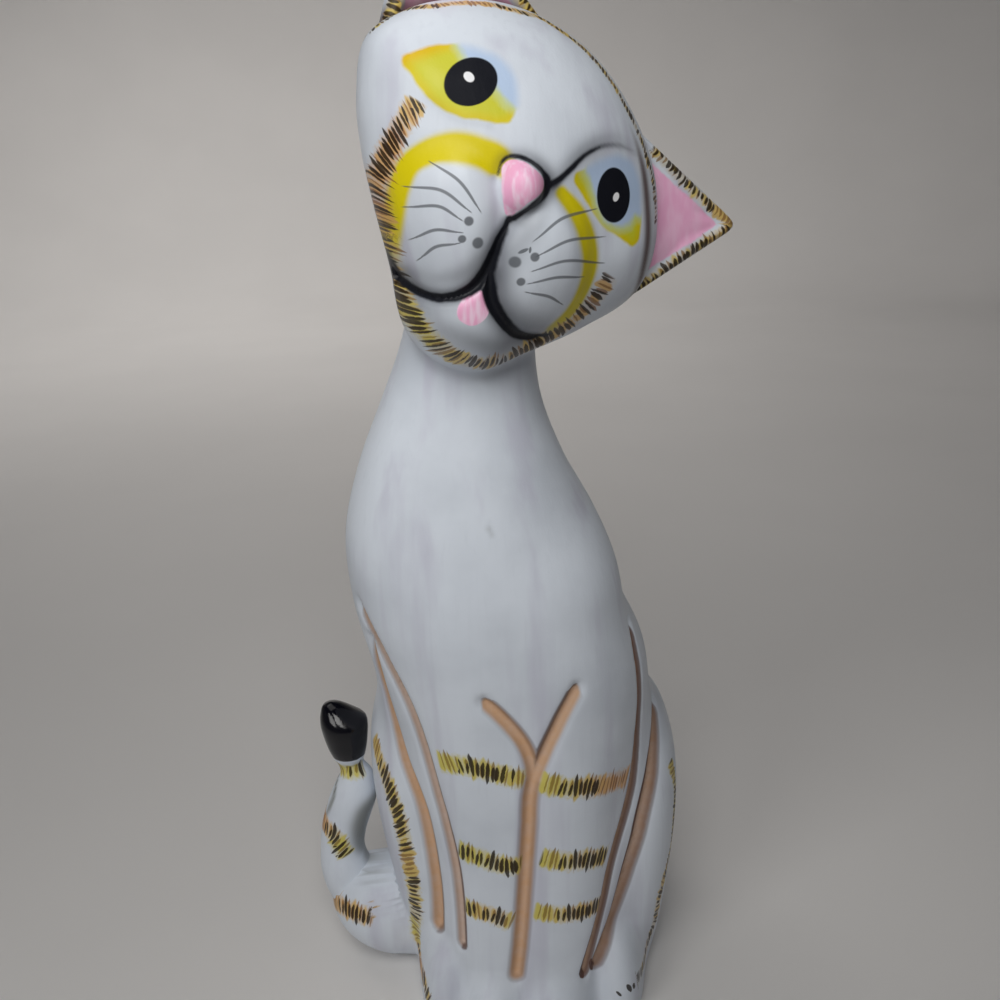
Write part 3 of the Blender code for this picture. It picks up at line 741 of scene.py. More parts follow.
@dataclass(frozen=True)
class Tail:
    """Round tail that curls up beside one haunch, as rows of place and radius."""

    rows: tuple = (
        (-0.0640, 0.0060, 0.0260, 0.0115),
        (-0.0740, 0.0070, 0.0320, 0.0118),
        (-0.0780, 0.0080, 0.0410, 0.0107),
        (-0.0788, 0.0090, 0.0500, 0.0095),
        (-0.0773, 0.0095, 0.0600, 0.0095),
        (-0.0740, 0.0100, 0.0700, 0.0096),
        (-0.0711, 0.0105, 0.0780, 0.0092),
        (-0.0706, 0.0110, 0.0840, 0.0077),
        (-0.0716, 0.0110, 0.0895, 0.0053),
        (-0.0722, 0.0110, 0.0925, 0.0055),
        (-0.0723, 0.0105, 0.0955, 0.0067),
        (-0.0725, 0.0100, 0.1002, 0.0081),
        (-0.0728, 0.0100, 0.1053, 0.0091),
        (-0.0730, 0.0100, 0.1092, 0.0096),
        (-0.0733, 0.0100, 0.1120, 0.0096),
        (-0.0742, 0.0100, 0.1142, 0.0086),
        (-0.0754, 0.0100, 0.1163, 0.0070),
        (-0.0764, 0.0100, 0.1181, 0.0055),
        (-0.0772, 0.0100, 0.1193, 0.0042),
        (-0.0775, 0.0100, 0.1201, 0.0030),
        (-0.0777, 0.0100, 0.1206, 0.0017),
        (-0.0778, 0.0100, 0.1208, 0.0005),
    )
    spacing: float = 0.0012
    route_spacing: float = 0.0008
    columns: int = 44
    level: float = 0.114
    levelling: float = 0.008

    def skin(self) -> np.ndarray:
        """Grid of points: a circle of the row's radius for each step of the path.

        Returns:
            Rings square to the path, whose lean falls to nothing over the levelling height, up to level.
        """
        rows = smooth_path(self.rows, self.spacing)
        ahead = np.gradient(rows[:, :3], axis=0)
        ahead[:, 0] *= np.clip((self.level - rows[:, 2]) / self.levelling, 0.0, 1.0)
        ahead = unit(ahead)
        side = unit(np.cross(ahead, (0.0, 1.0, 0.0)))
        turn = np.linspace(0.0, 2.0 * np.pi, self.columns, endpoint=False)
        over = np.cross(ahead, side)
        ring = np.cos(turn)[:, None] * side[:, None] + np.sin(turn)[:, None] * over[:, None]
        return rows[:, None, :3] + rows[:, None, 3:] * ring

    def front_route(self, route: Sequence) -> np.ndarray:
        """Rows of place, and what rides along, on the side of the tail that faces forward.

        Args:
            route: Rows of x, height, and any further values.

        Returns:
            Rows whose y lies ahead of the path by the root of radius squared less offset squared.
        """
        fine = smooth_path(route, FINE, axes=2)
        rows = smooth_path(self.rows, self.route_spacing)
        gaps = np.linalg.norm(fine[:, None, :2] - rows[None][:, :, [0, 2]], axis=-1)
        nearest = rows[gaps.argmin(axis=1)]
        rise = np.sqrt(np.clip(nearest[:, 3] ** 2 - gaps.min(axis=1) ** 2, 0.0, None))
        return np.column_stack([fine[:, 0], nearest[:, 1] - rise, fine[:, 1], fine[:, 2:]])


# ---------------------------------------------------------------- markings
class Part(Enum):
    """Skins that the figure is joined from, and that carry their own finish."""

    TRUNK = 0
    HEAD = 1
    EAR = 2
    TAIL = 3
    UNDERSIDE = 4


class Paint(Enum):
    """Attributes that say how strongly a paint, or a painted shade, covers a place."""

    YELLOW = "yellow"
    # Grey airbrush, and painted shade in creases, on the muzzle lobes and chin, and round the gap between
    # tail and haunch.
    SMOKE = "airbrush_and_shade"
    # Dark seam round the ears, partly seam paint and partly painted shade where each ear meets the head.
    SEAM = "seam"


class Shape(Enum):
    """Attributes that say how deep inside a hard-edged field a place is, in millimetres."""

    EYE = "eye"
    SKY = "sky"
    PINK = "pink"
    INK = "ink"


@dataclass(frozen=True)
class Hatch:
    """Row of short brush strokes that cross a line.

    Attributes:
        route: Rows of place in millimetres or bearing and height, then slant in cells, strength of the
            tinted ground, warmth of its colour, and share of black strokes.
        half_length: Half length of a stroke.
        period: Distance between strokes.
    """

    route: tuple
    half_length: float
    period: float


@dataclass(frozen=True)
class Spray:
    """Airbrushed line of paint or of painted shade, whose strength falls off as a bell curve of the
    distance over the half width.

    Attributes:
        paint: Attribute that it adds to.
        route: Rows of place, half width in millimetres and strength.
        power: 2 for a plain bell curve, more for a flatter middle with a quicker edge.
    """

    paint: Paint
    route: tuple
    power: float = 2.0


@dataclass(frozen=True)
class Patch:
    """Hard-edged field on the face, inside a smooth loop across and up the face in millimetres."""

    shape: Shape
    loop: tuple


@dataclass(frozen=True)
class InkLine:
    """Hard-edged black line on the face: rows across, up, and half width in millimetres."""

    route: tuple


@dataclass(frozen=True)
class Spot:
    """Round or oval spot on the face, drawn by its finish.

    Attributes:
        centre: Across and up the face in millimetres.
        halves: Half sizes in millimetres.
        tilt: Turn of the first half size from across the face, in degrees.
    """

    centre: tuple
    halves: tuple
    tilt: float = 0.0


@dataclass(frozen=True)
class GroovePaint:
    """How one of the trunk's grooves is painted.

    Attributes:
        groove: Its number among the trunk's grooves.
        half_width: Half width of the paint in millimetres.
        cover: Strength of the peach.
        left: Darkness of the painted shade on the left edge.
        right: Darkness of the painted shade on the right edge.
        rust: Share of rust in the peach.
        growth: Length in millimetres over which the paint grows from the groove's start.
    """

    groove: int
    half_width: float
    cover: float
    left: float
    right: float
    rust: float
    growth: float


RIDGE_HATCH = Hatch((
    (-59.1, 11.8, 2, 0.1, 0.2, 0.2, 0.9), (-57.6, 16.1, 3, 0.1, 0.3, 0.2, 0.9),
    (-55.2, 20.9, 1, 0.2, 0.6, 0.3, 0.9), (-49.8, 26.2, 8, 0.2, 0.9, 0.5, 0.5),
    (-43.4, 31.9, 9, 0.3, 0.9, 0.7, 0.4), (-36.3, 37.1, 10, 0.3, 0.9, 0.8, 0.4),
    (-28.2, 40.5, 11, 0.3, 0.9, 0.6, 0.5), (-22.4, 43.6, 9.2, 0.3, 0.9, 0.5, 0.6),
    (-15.6, 44.3, 11.2, 0.3, 0.9, 0.4, 0.6), (-8.3, 44.7, 12.0, 0.3, 0.8, 0.4, 0.7),
    (-2.3, 44.0, 13.1, 0.3, 0.65, 0.4, 0.8), (3.0, 42.8, 14.1, 0.3, 0.6, 0.4, 0.8),
    (8.0, 41.3, 14.7, 0.3, 0.55, 0.4, 0.8), (12.4, 39.3, 15.7, 0.3, 0.5, 0.4, 0.8),
    (17.2, 37.6, 15.8, 0.2, 0.45, 0.4, 0.8), (23.5, 34.3, 15.9, 0.2, 0.4, 0.4, 0.8),
    (28.0, 31.8, 15.6, 0.2, 0.35, 0.5, 0.8), (32.8, 29.1, 14.8, 0.2, 0.35, 0.5, 0.8),
    (37.5, 25.1, 14.6, 0.1, 0.3, 0.5, 0.8), (42.7, 19.4, 14.5, 0.1, 0.25, 0.6, 0.8),
), 2.1, 1.5)
CHEEK_HATCH = Hatch((
    (-40.8, 0.0, -1.6, 0.7, 0.6, 0.5), (-40.4, -6.0, -1.8, 0.8, 0.8, 0.75),
    (-39.6, -11.0, -2.0, 0.9, 0.9, 0.85), (-38.2, -16.0, -2.0, 0.8, 0.9, 0.85),
    (-36.2, -21.0, -1.9, 0.8, 0.9, 0.85), (-33.0, -26.0, -1.8, 0.7, 0.9, 0.85),
    (-28.9, -30.6, -1.6, 0.6, 0.9, 0.9), (-24.8, -34.6, -1.2, 0.5, 0.7, 0.95),
), 3.1, 1.3)
CHIN_HATCHES = (
    Hatch((
        (-24.8, -34.6, -1.0, 0.4, 0.6, 0.9), (-20.0, -38.4, -0.9, 0.3, 0.5, 0.95),
        (-14.9, -42.6, -0.8, 0.4, 0.5, 0.95), (-10.0, -46.6, -0.7, 0.8, 0.2, 0.9),
        (-4.5, -49.8, -0.6, 0.9, 0.1, 0.85), (1.2, -51.6, -0.5, 0.9, 0.1, 0.85),
        (7.3, -52.4, -0.4, 0.8, 0.3, 0.9), (14.8, -51.6, 0.0, 0.5, 0.4, 0.95),
        (21.5, -49.0, 0.3, 0.4, 0.5, 0.95),
    ), 2.9, 1.75),
    Hatch((
        (21.5, -49.0, 0.3, 0.4, 0.5, 0.95), (26.4, -45.0, 0.5, 0.3, 0.5, 0.95),
        (30.0, -39.8, 0.5, 0.4, 0.5, 0.95), (33.0, -34.2, 0.4, 0.4, 0.5, 0.95),
        (35.4, -28.2, 0.3, 0.5, 0.6, 0.95), (36.9, -21.4, 0.2, 0.5, 0.7, 0.95),
        (37.4, -13.0, 0.2, 0.4, 0.7, 0.9), (36.6, -6.0, 0.2, 0.3, 0.8, 0.7),
    ), 3.7, 1.8),
)
LEG_HATCHES = (
    Hatch(((-32.4, 124.6, 0.5, 1.0, 0.0, 0.0), (-27.0, 125.0, 0.5, 1.0, 0.0, 0.4),
           (-21.7, 125.2, 0.5, 1.0, 0.0, 0.7), (-13.7, 123.8, 0.5, 1.0, 0.1, 0.8),
           (-5.9, 121.6, 0.4, 1.0, 0.1, 0.5), (0.4, 120.0, 0.4, 0.9, 0.2, 0.1)), 4.6, 1.9),
    Hatch(((-29.4, 85.4, 0.3, 0.7, 0.0, 0.7), (-21.2, 83.9, 0.3, 0.9, 0.0, 1.0),
           (-12.9, 81.1, 0.3, 0.9, 0.1, 0.7), (-5.4, 80.4, 0.3, 0.9, 0.2, 0.7)), 4.6, 1.9),
    Hatch(((-28.7, 58.4, 0.4, 0.9, 0.2, 0.5), (-20.1, 57.3, 0.4, 0.9, 0.5, 0.8),
           (-10.6, 53.4, 0.4, 0.8, 0.2, 0.4)), 4.4, 1.9),
    Hatch(((9.5, 117.4, 0.1, 0.8, 0.0, 0.0), (14.0, 116.4, 0.1, 1.0, 0.1, 0.5),
           (20.0, 114.6, 0.1, 1.0, 0.2, 0.9), (27.0, 113.2, 0.1, 1.0, 0.5, 0.9),
           (36.1, 110.5, 0.1, 1.0, 0.9, 0.2), (44.0, 108.2, 0.1, 0.9, 1.0, 0.1),
           (50.6, 106.0, 0.1, 0.9, 1.0, 0.1)), 4.8, 1.9),
    Hatch(((6.4, 84.0, 0.2, 0.9, 0.0, 0.1), (15.2, 81.8, 0.2, 0.8, 0.2, 0.7),
           (24.9, 79.9, 0.2, 0.8, 0.4, 0.9), (35.8, 76.4, 0.2, 0.8, 0.4, 0.9)), 4.6, 1.9),
    Hatch(((2.4, 58.8, 0.1, 0.9, 0.0, 0.0), (12.2, 57.2, 0.1, 0.9, 0.3, 0.6),
           (20.4, 56.2, 0.1, 0.9, 0.5, 0.9), (32.6, 54.4, 0.1, 0.7, 0.6, 0.7)), 4.2, 1.9),
)
HAUNCH_HATCHES = (
    Hatch(((-58.3, -7.0, 113.0, 0.9, 1.0, 0.5, 0.0), (-55.7, -14.2, 106.2, 1.0, 1.0, 0.4, 0.6),
           (-52.2, -19.4, 98.1, 1.1, 0.9, 0.3, 0.8), (-49.5, -22.4, 88.3, 1.1, 0.9, 0.3, 0.8),
           (-47.7, -23.6, 77.3, 1.0, 0.9, 0.3, 0.8), (-46.8, -23.8, 66.7, 0.8, 1.0, 0.5, 0.4),
           (-45.6, -23.6, 55.1, 0.6, 0.8, 0.3, 1.0), (-45.8, -21.6, 40.7, 0.6, 0.8, 0.3, 0.8),
           (-46.1, -18.5, 24.8, 0.6, 1.0, 0.1, 0.2), (-45.1, -23.3, 16.0, 0.8, 0.9, 1.0, 0.4),
           (-42.5, -34.1, 13.5, 0.9, 0.5, 0.5, 0.9), (-41.4, -37.3, 9.4, 0.9, 0.3, 0.4, 0.9)),
          4.2, 2.3),
    Hatch(((60.2, -8.8, 97.6, -0.6, 0.9, 0.2, 0.3), (62.5, -7.0, 86.6, -0.6, 0.9, 0.2, 0.5),
           (62.1, -8.5, 73.0, -0.6, 0.8, 0.3, 0.6), (61.3, -8.4, 57.9, -0.6, 0.7, 0.4, 0.8),
           (58.7, -12.7, 48.9, -0.6, 0.7, 0.4, 0.8), (56.0, -15.7, 38.7, -0.6, 0.6, 0.5, 0.9),
           (52.8, -16.9, 21.5, -0.6, 0.5, 0.5, 0.9), (48.8, -24.7, 15.8, -0.6, 0.3, 0.5, 0.9),
           (44.1, -37.2, 15.5, -0.6, 0.1, 0.5, 0.9)), 3.0, 2.2),
    Hatch(((27.6, -40.6, 10.6, 0.4, 0.0, 0.5, 0.4), (36.0, -43.0, 15.0, 0.2, 0.0, 0.5, 0.4),
           (43.4, -39.2, 15.4, 0.0, 0.0, 0.5, 0.4)), 2.0, 2.2),
)
TAIL_HATCHES = (
    Hatch(((-77.4, 90.0, 0.0, 1.0, 0.0, 0.2), (-74.0, 90.4, 0.0, 1.0, 0.0, 0.5),
           (-71.0, 90.1, 0.0, 1.0, 0.0, 0.4), (-67.4, 89.7, 0.0, 0.7, 0.0, 0.1)), 4.2, 2.0),
    Hatch(((-86.4, 65.6, 0.9, 0.9, 1.0, 0.4), (-84.1, 64.1, 0.9, 0.9, 0.9, 0.6),
           (-81.3, 62.0, 0.9, 0.9, 0.4, 0.5), (-78.9, 58.1, 0.9, 1.0, 0.0, 0.5),
           (-76.6, 52.4, 0.9, 0.8, 0.0, 0.6)), 4.4, 1.9),
)
ROOT_HATCHES = (
    Hatch(((-84.0, 0.0, 29.0, 0.3, 0.9, 0.8, 0.1), (-78.5, -7.8, 31.4, 0.3, 1.0, 0.8, 0.6),
           (-74.2, -10.9, 31.6, 0.2, 1.0, 0.7, 0.8), (-70.1, -12.9, 31.4, 0.1, 0.9, 0.7, 0.6),
           (-65.6, -14.2, 31.0, 0.0, 0.7, 0.7, 0.4)), 4.4, 1.9),
)
EAR_HATCH_HALF_LENGTH = 2.7
EAR_HATCH_PERIOD = 1.9

SPRAYS_ON_FACE = (
    Spray(Paint.YELLOW, ((-10.5, -1.4, 2.6, 0.5), (-12.8, -0.4, 3.8, 0.95), (-20.6, -1.2, 4.3, 1.0),
                         (-26.7, -4.1, 4.2, 1.0), (-31.1, -8.8, 3.4, 1.0), (-33.0, -14.1, 2.9, 0.95),
                         (-31.2, -21.1, 2.5, 0.9), (-27.6, -27.5, 2.3, 0.8), (-22.4, -34.7, 2.0, 0.7),
                         (-18.2, -38.9, 1.6, 0.3)), 3.4),
    Spray(Paint.YELLOW, ((5.6, 4.0, 2.2, 0.85), (13.3, 2.2, 3.2, 1.0), (20.4, -1.5, 3.6, 1.0),
                         (26.3, -6.7, 3.4, 1.0), (30.2, -13.5, 3.1, 0.95), (32.3, -20.8, 2.9, 0.85),
                         (31.5, -28.0, 2.4, 0.6)), 3.2),
    # Grey airbrush round both branches of the mouth, with painted shade in the creases beside it.
    Spray(Paint.SMOKE, ((-21.0, -38.5, 2.2, 0.35), (-14.7, -41.5, 3.4, 0.75), (-9.9, -42.4, 3.8, 0.8),
                        (-5.3, -41.0, 3.6, 0.8), (-1.5, -37.5, 3.4, 0.8), (1.2, -31.8, 4.0, 0.85),
                        (1.1, -26.4, 4.4, 0.85), (0.1, -22.8, 4.0, 0.8), (-1.7, -17.0, 3.0, 0.75),
                        (-2.4, -12.0, 2.4, 0.6))),
    Spray(Paint.SMOKE, ((3.3, -27.7, 4.0, 0.8), (7.7, -32.0, 4.2, 0.85), (14.6, -34.8, 4.2, 0.85),
                        (23.4, -35.4, 3.8, 0.8), (30.5, -32.3, 3.0, 0.6), (34.6, -28.0, 2.4, 0.3))),
    Spray(Paint.SMOKE, ((-13.6, -4.0, 1.6, 0.25), (-14.4, 1.0, 1.8, 0.4), (-10.3, 5.2, 2.0, 0.5),
                        (-5.5, 6.4, 2.2, 0.6), (0.3, 4.6, 2.4, 0.75), (1.8, 0.8, 2.2, 0.75),
                        (0.6, -4.0, 2.0, 0.7), (-0.8, -9.0, 2.0, 0.7))),
    # Painted shade in the carved brow crease over the right eye: a dark core, then a wider halo.
    Spray(Paint.SMOKE, ((1.0, 2.8, 1.1, 1.0), (2.6, 4.6, 1.1, 1.0), (3.2, 7.4, 1.1, 1.0),
                        (4.1, 10.7, 1.0, 1.0), (5.9, 17.0, 0.9, 0.95), (9.0, 22.0, 0.8, 0.85),
                        (13.5, 25.9, 0.8, 0.6), (19.5, 28.6, 0.8, 0.35), (23.0, 29.4, 0.8, 0.1)), 2.6),
    Spray(Paint.SMOKE, ((1.6, 5.0, 2.6, 0.35), (3.0, 11.0, 2.6, 0.45), (4.8, 17.6, 2.6, 0.5),
                        (8.2, 23.2, 2.6, 0.4), (13.0, 27.4, 2.4, 0.25), (19.0, 30.0, 2.2, 0.12))),
    # Painted shade along the left muzzle lobe's edge beside the nose and mouth.
    Spray(Paint.SMOKE, ((-8.0, -14.0, 2.6, 0.12), (-4.6, -22.0, 3.4, 0.3), (-4.2, -29.0, 3.4, 0.32),
                        (-8.0, -36.0, 3.0, 0.3), (-15.0, -38.5, 2.4, 0.25))),
    # Painted shade over the right muzzle lobe, darkest towards the mouth.
    Spray(Paint.SMOKE, ((4.0, -3.0, 2.4, 0.2), (3.2, -9.0, 3.8, 0.42), (2.8, -16.0, 4.6, 0.48),
                        (4.4, -24.0, 4.6, 0.5), (10.0, -30.0, 4.6, 0.52), (19.0, -32.0, 4.6, 0.48),
                        (27.0, -29.0, 4.2, 0.4))),
    # Painted shade along the right muzzle lobe's upper edge.
    Spray(Paint.SMOKE, ((3.0, 3.0, 1.8, 0.35), (10.0, 0.0, 2.0, 0.3), (17.0, -4.0, 2.0, 0.25),
                        (22.0, -10.0, 2.2, 0.18))),
    # Dark seam along the head's edge beside the ear: partly seam paint, partly painted shade in the gap at
    # the ear.
    Spray(Paint.SEAM, ((16.0, 34.6, 0.6, 0.1), (20.0, 32.6, 0.9, 0.4), (24.3, 30.0, 1.2, 0.8),
                       (28.4, 27.1, 1.5, 0.95), (32.4, 23.4, 1.7, 1.0), (36.4, 19.0, 1.8, 1.0),
                       (40.2, 14.3, 1.9, 1.0), (43.8, 9.4, 1.9, 1.0), (47.2, 4.7, 1.8, 1.0),
                       (50.8, 0.2, 1.6, 0.9), (53.5, -4.5, 1.4, 0.5)), 2.4),
    # Painted shade on the chin under the mouth.
    Spray(Paint.SMOKE, ((-9.0, -46.0, 3.6, 0.3), (2.0, -47.0, 4.2, 0.4), (12.0, -45.0, 4.6, 0.5),
                        (22.0, -41.0, 4.6, 0.5), (30.0, -34.0, 3.6, 0.3))),
    Spray(Paint.SMOKE, ((-38.6, 3.0, 1.4, 0.12), (-30.0, 2.8, 1.4, 0.12), (-22.0, 6.4, 1.4, 0.12))),
)
SPRAYS_ON_TAIL = (
    # Painted shade on the tail round the gap between the tail and the haunch.
    Spray(Paint.SMOKE, ((-62.6, 74.4, 4.6, 0.65), (-65.4, 72.6, 5.0, 0.72), (-68.0, 68.0, 5.0, 0.75),
                        (-69.4, 61.5, 5.0, 0.75), (-69.6, 53.6, 5.0, 0.7), (-68.4, 46.4, 4.6, 0.6),
                        (-66.0, 41.0, 4.0, 0.4)), 3.0),
    Spray(Paint.SMOKE, ((-77.7, 85.8, 1.0, 0.9), (-78.7, 82.2, 1.0, 0.9), (-79.7, 78.3, 1.1, 0.9),
                        (-81.8, 73.1, 1.1, 0.85), (-84.0, 67.8, 1.0, 0.6), (-85.4, 63.0, 1.0, 0.3))),
)
PATCHES = (
    Patch(Shape.EYE, ((-49.9, 8.3), (-48.0, 11.6), (-45.4, 15.1), (-41.3, 18.8), (-35.3, 21.9),
                      (-28.2, 23.6), (-22.5, 21.6), (-19.8, 18.3), (-18.0, 14.6), (-17.8, 10.7),
                      (-20.2, 8.4), (-23.6, 6.7), (-29.6, 3.6), (-35.1, 2.5), (-40.0, 3.2),
                      (-45.5, 5.4), (-49.3, 7.2))),
    Patch(Shape.SKY, ((-40.0, 21.4), (-32.6, 25.0), (-26.8, 25.6), (-21.0, 23.6), (-17.6, 20.1),
                      (-16.6, 15.4), (-19.6, 14.8), (-24.6, 15.9), (-29.6, 18.0), (-36.0, 17.8))),
    Patch(Shape.EYE, ((6.3, 10.6), (7.8, 13.6), (11.3, 19.2), (16.2, 24.4), (22.7, 26.2), (28.3, 23.6),
                      (32.8, 18.8), (36.4, 13.4), (38.1, 8.4), (37.0, 6.6), (34.0, 6.0), (29.8, 5.6),
                      (24.6, 4.8), (19.2, 5.7), (13.6, 7.2), (9.2, 8.4), (6.8, 9.3))),
    Patch(Shape.SKY, ((8.2, 14.3), (11.3, 12.9), (15.5, 10.6), (19.8, 8.0), (24.0, 6.8), (28.8, 8.2),
                      (31.6, 10.8), (32.3, 14.8), (34.2, 15.6), (35.0, 19.6), (30.0, 26.6),
                      (22.7, 29.2), (14.0, 26.4), (8.6, 19.4))),
    Patch(Shape.PINK, ((-13.2, -0.2), (-12.5, 2.1), (-10.3, 3.6), (-5.9, 3.8), (-1.6, 3.0), (-0.6, 1.0),
                       (-1.2, -1.6), (-2.5, -4.6), (-2.8, -7.6), (-3.2, -10.2), (-4.4, -10.3),
                       (-7.0, -8.6), (-9.9, -5.9), (-12.0, -2.7))),
    Patch(Shape.PINK, ((1.6, -32.6), (0.9, -36.5), (1.2, -40.4), (3.6, -42.3), (7.2, -41.8),
                       (9.4, -38.6), (9.1, -34.9), (6.4, -33.0), (3.4, -31.6))),
)
INK_LINES = (
    InkLine(((-20.5, -37.2, 0.3), (-17.6, -39.8, 0.8), (-14.7, -41.3, 1.1), (-9.9, -42.3, 1.2),
             (-5.3, -41.0, 1.3), (-1.5, -37.5, 1.5), (1.2, -31.8, 2.0), (1.1, -26.4, 2.2),
             (0.1, -22.8, 1.9), (-1.5, -17.0, 1.3), (-2.2, -12.5, 1.0), (-2.9, -10.6, 0.9))),
    InkLine(((1.4, -25.5, 1.7), (3.6, -28.4, 2.1), (7.7, -32.1, 2.1), (14.6, -34.9, 1.9),
             (23.4, -35.5, 1.5), (30.0, -33.0, 0.9), (34.0, -29.0, 0.3))),
    InkLine(((-12.9, -2.8, 0.3), (-13.9, 0.3, 0.45), (-13.2, 2.7, 0.55), (-11.0, 4.3, 0.65),
             (-6.3, 5.2, 0.8), (-2.6, 4.9, 1.0), (-0.1, 3.6, 1.4), (0.8, 1.2, 1.4), (0.2, -1.8, 1.2),
             (-1.0, -5.0, 0.9), (-1.7, -8.5, 0.8), (-2.6, -11.2, 0.9))),
    InkLine(((1.0, 3.2, 0.7), (3.0, 7.4, 0.8), (4.1, 11.0, 0.7), (5.9, 17.0, 0.45), (9.0, 22.0, 0.1))),
)
WHISKERS = (
    ((-28.2, -10.9), (-21.4, -10.9), (-12.8, -13.8)), ((-29.6, -19.4), (-23.6, -15.8), (-15.1, -15.9)),
    ((-26.4, -23.9), (-21.0, -19.5), (-15.6, -19.2)), ((-20.2, -30.1), (-18.1, -25.4), (-13.4, -22.5)),
    ((-15.4, -33.4), (-15.0, -29.2), (-11.7, -25.4)), ((5.9, -10.6), (8.6, -2.7), (17.4, 6.4)),
    ((9.5, -13.5), (13.4, -6.8), (24.7, 1.9)), ((11.2, -17.9), (15.6, -12.2), (29.6, -4.0)),
    ((12.8, -21.5), (17.5, -16.5), (25.2, -11.5)), ((14.3, -24.2), (20.5, -21.6), (25.2, -21.0)),
)
PUPILS = (
    Spot((-31.91, 13.37), (7.88, 6.01), 63.1),
    Spot((21.71, 14.37), (7.93, 6.49), -47.7),
)
HIGHLIGHTS = (Spot((-33.0, 14.1), (1.5, 1.3)), Spot((22.6, 14.4), (1.1, 1.4)))
WHISKER_DOTS = (
    Spot((-12.7, -18.2), (1.3, 1.3)), Spot((-11.1, -23.2), (1.1, 1.1)), Spot((-6.8, -21.5), (1.6, 1.6)),
    Spot((5.0, -19.7), (1.6, 1.6)), Spot((8.4, -15.4), (1.3, 1.3)), Spot((9.9, -23.2), (1.2, 1.2)),
    Spot((4.8, -15.9), (0.5, 1.5), -28.0), Spot((6.1, -14.6), (0.35, 0.9), 30.0),
)
# The left and right columns give the darkness of the painted shade along each edge of a groove.
GROOVE_PAINT = (
    GroovePaint(0, 3.2, 1.0, 0.30, 0.35, 0.0, 0.0),
    GroovePaint(1, 2.9, 1.0, 0.15, 0.45, 0.0, 3.0),
    GroovePaint(2, 2.9, 0.95, 0.75, 0.15, 0.0, 2.4),
    GroovePaint(3, 2.4, 0.75, 0.30, 0.85, 0.15, 6.0),
    GroovePaint(4, 3.3, 1.0, 0.25, 0.60, 0.0, 16.0),
    GroovePaint(5, 2.2, 0.90, 2.2, 0.80, 0.30, 5.0),
    GroovePaint(6, 2.9, 0.90, 2.2, 0.55, 0.40, 6.0),
)
SPRAYS_ON_BODY = (
    # Painted shade on the haunch and the tail's root round the gap between tail and haunch.
    Spray(Paint.SMOKE, ((-69.6, 7.3, 43.6, 3.2, 0.5), (-67.6, 1.5, 43.6, 3.2, 0.5),
                        (-66.0, -3.8, 42.0, 2.8, 0.3))),
    Spray(Paint.SMOKE, ((-9.3, -40.3, 215.6, 0.9, 0.25), (-8.1, -40.3, 213.6, 0.9, 0.25))),
)


def nearest_of(points: np.ndarray, path: np.ndarray, axes: int) -> tuple[np.ndarray, np.ndarray]:
    """Index of the path's nearest row to each point, and the distance to it."""
    index = np.empty(len(points), int)
    gap = np.empty(len(points))
    for start in range(0, len(points), BATCH):
        batch = slice(start, start + BATCH)
        offset = points[batch, None, :axes] - path[None, :, :axes]
        square = (offset * offset).sum(-1)
        index[batch] = square.argmin(axis=1)
        gap[batch] = np.sqrt(square.min(axis=1))
    return index, gap


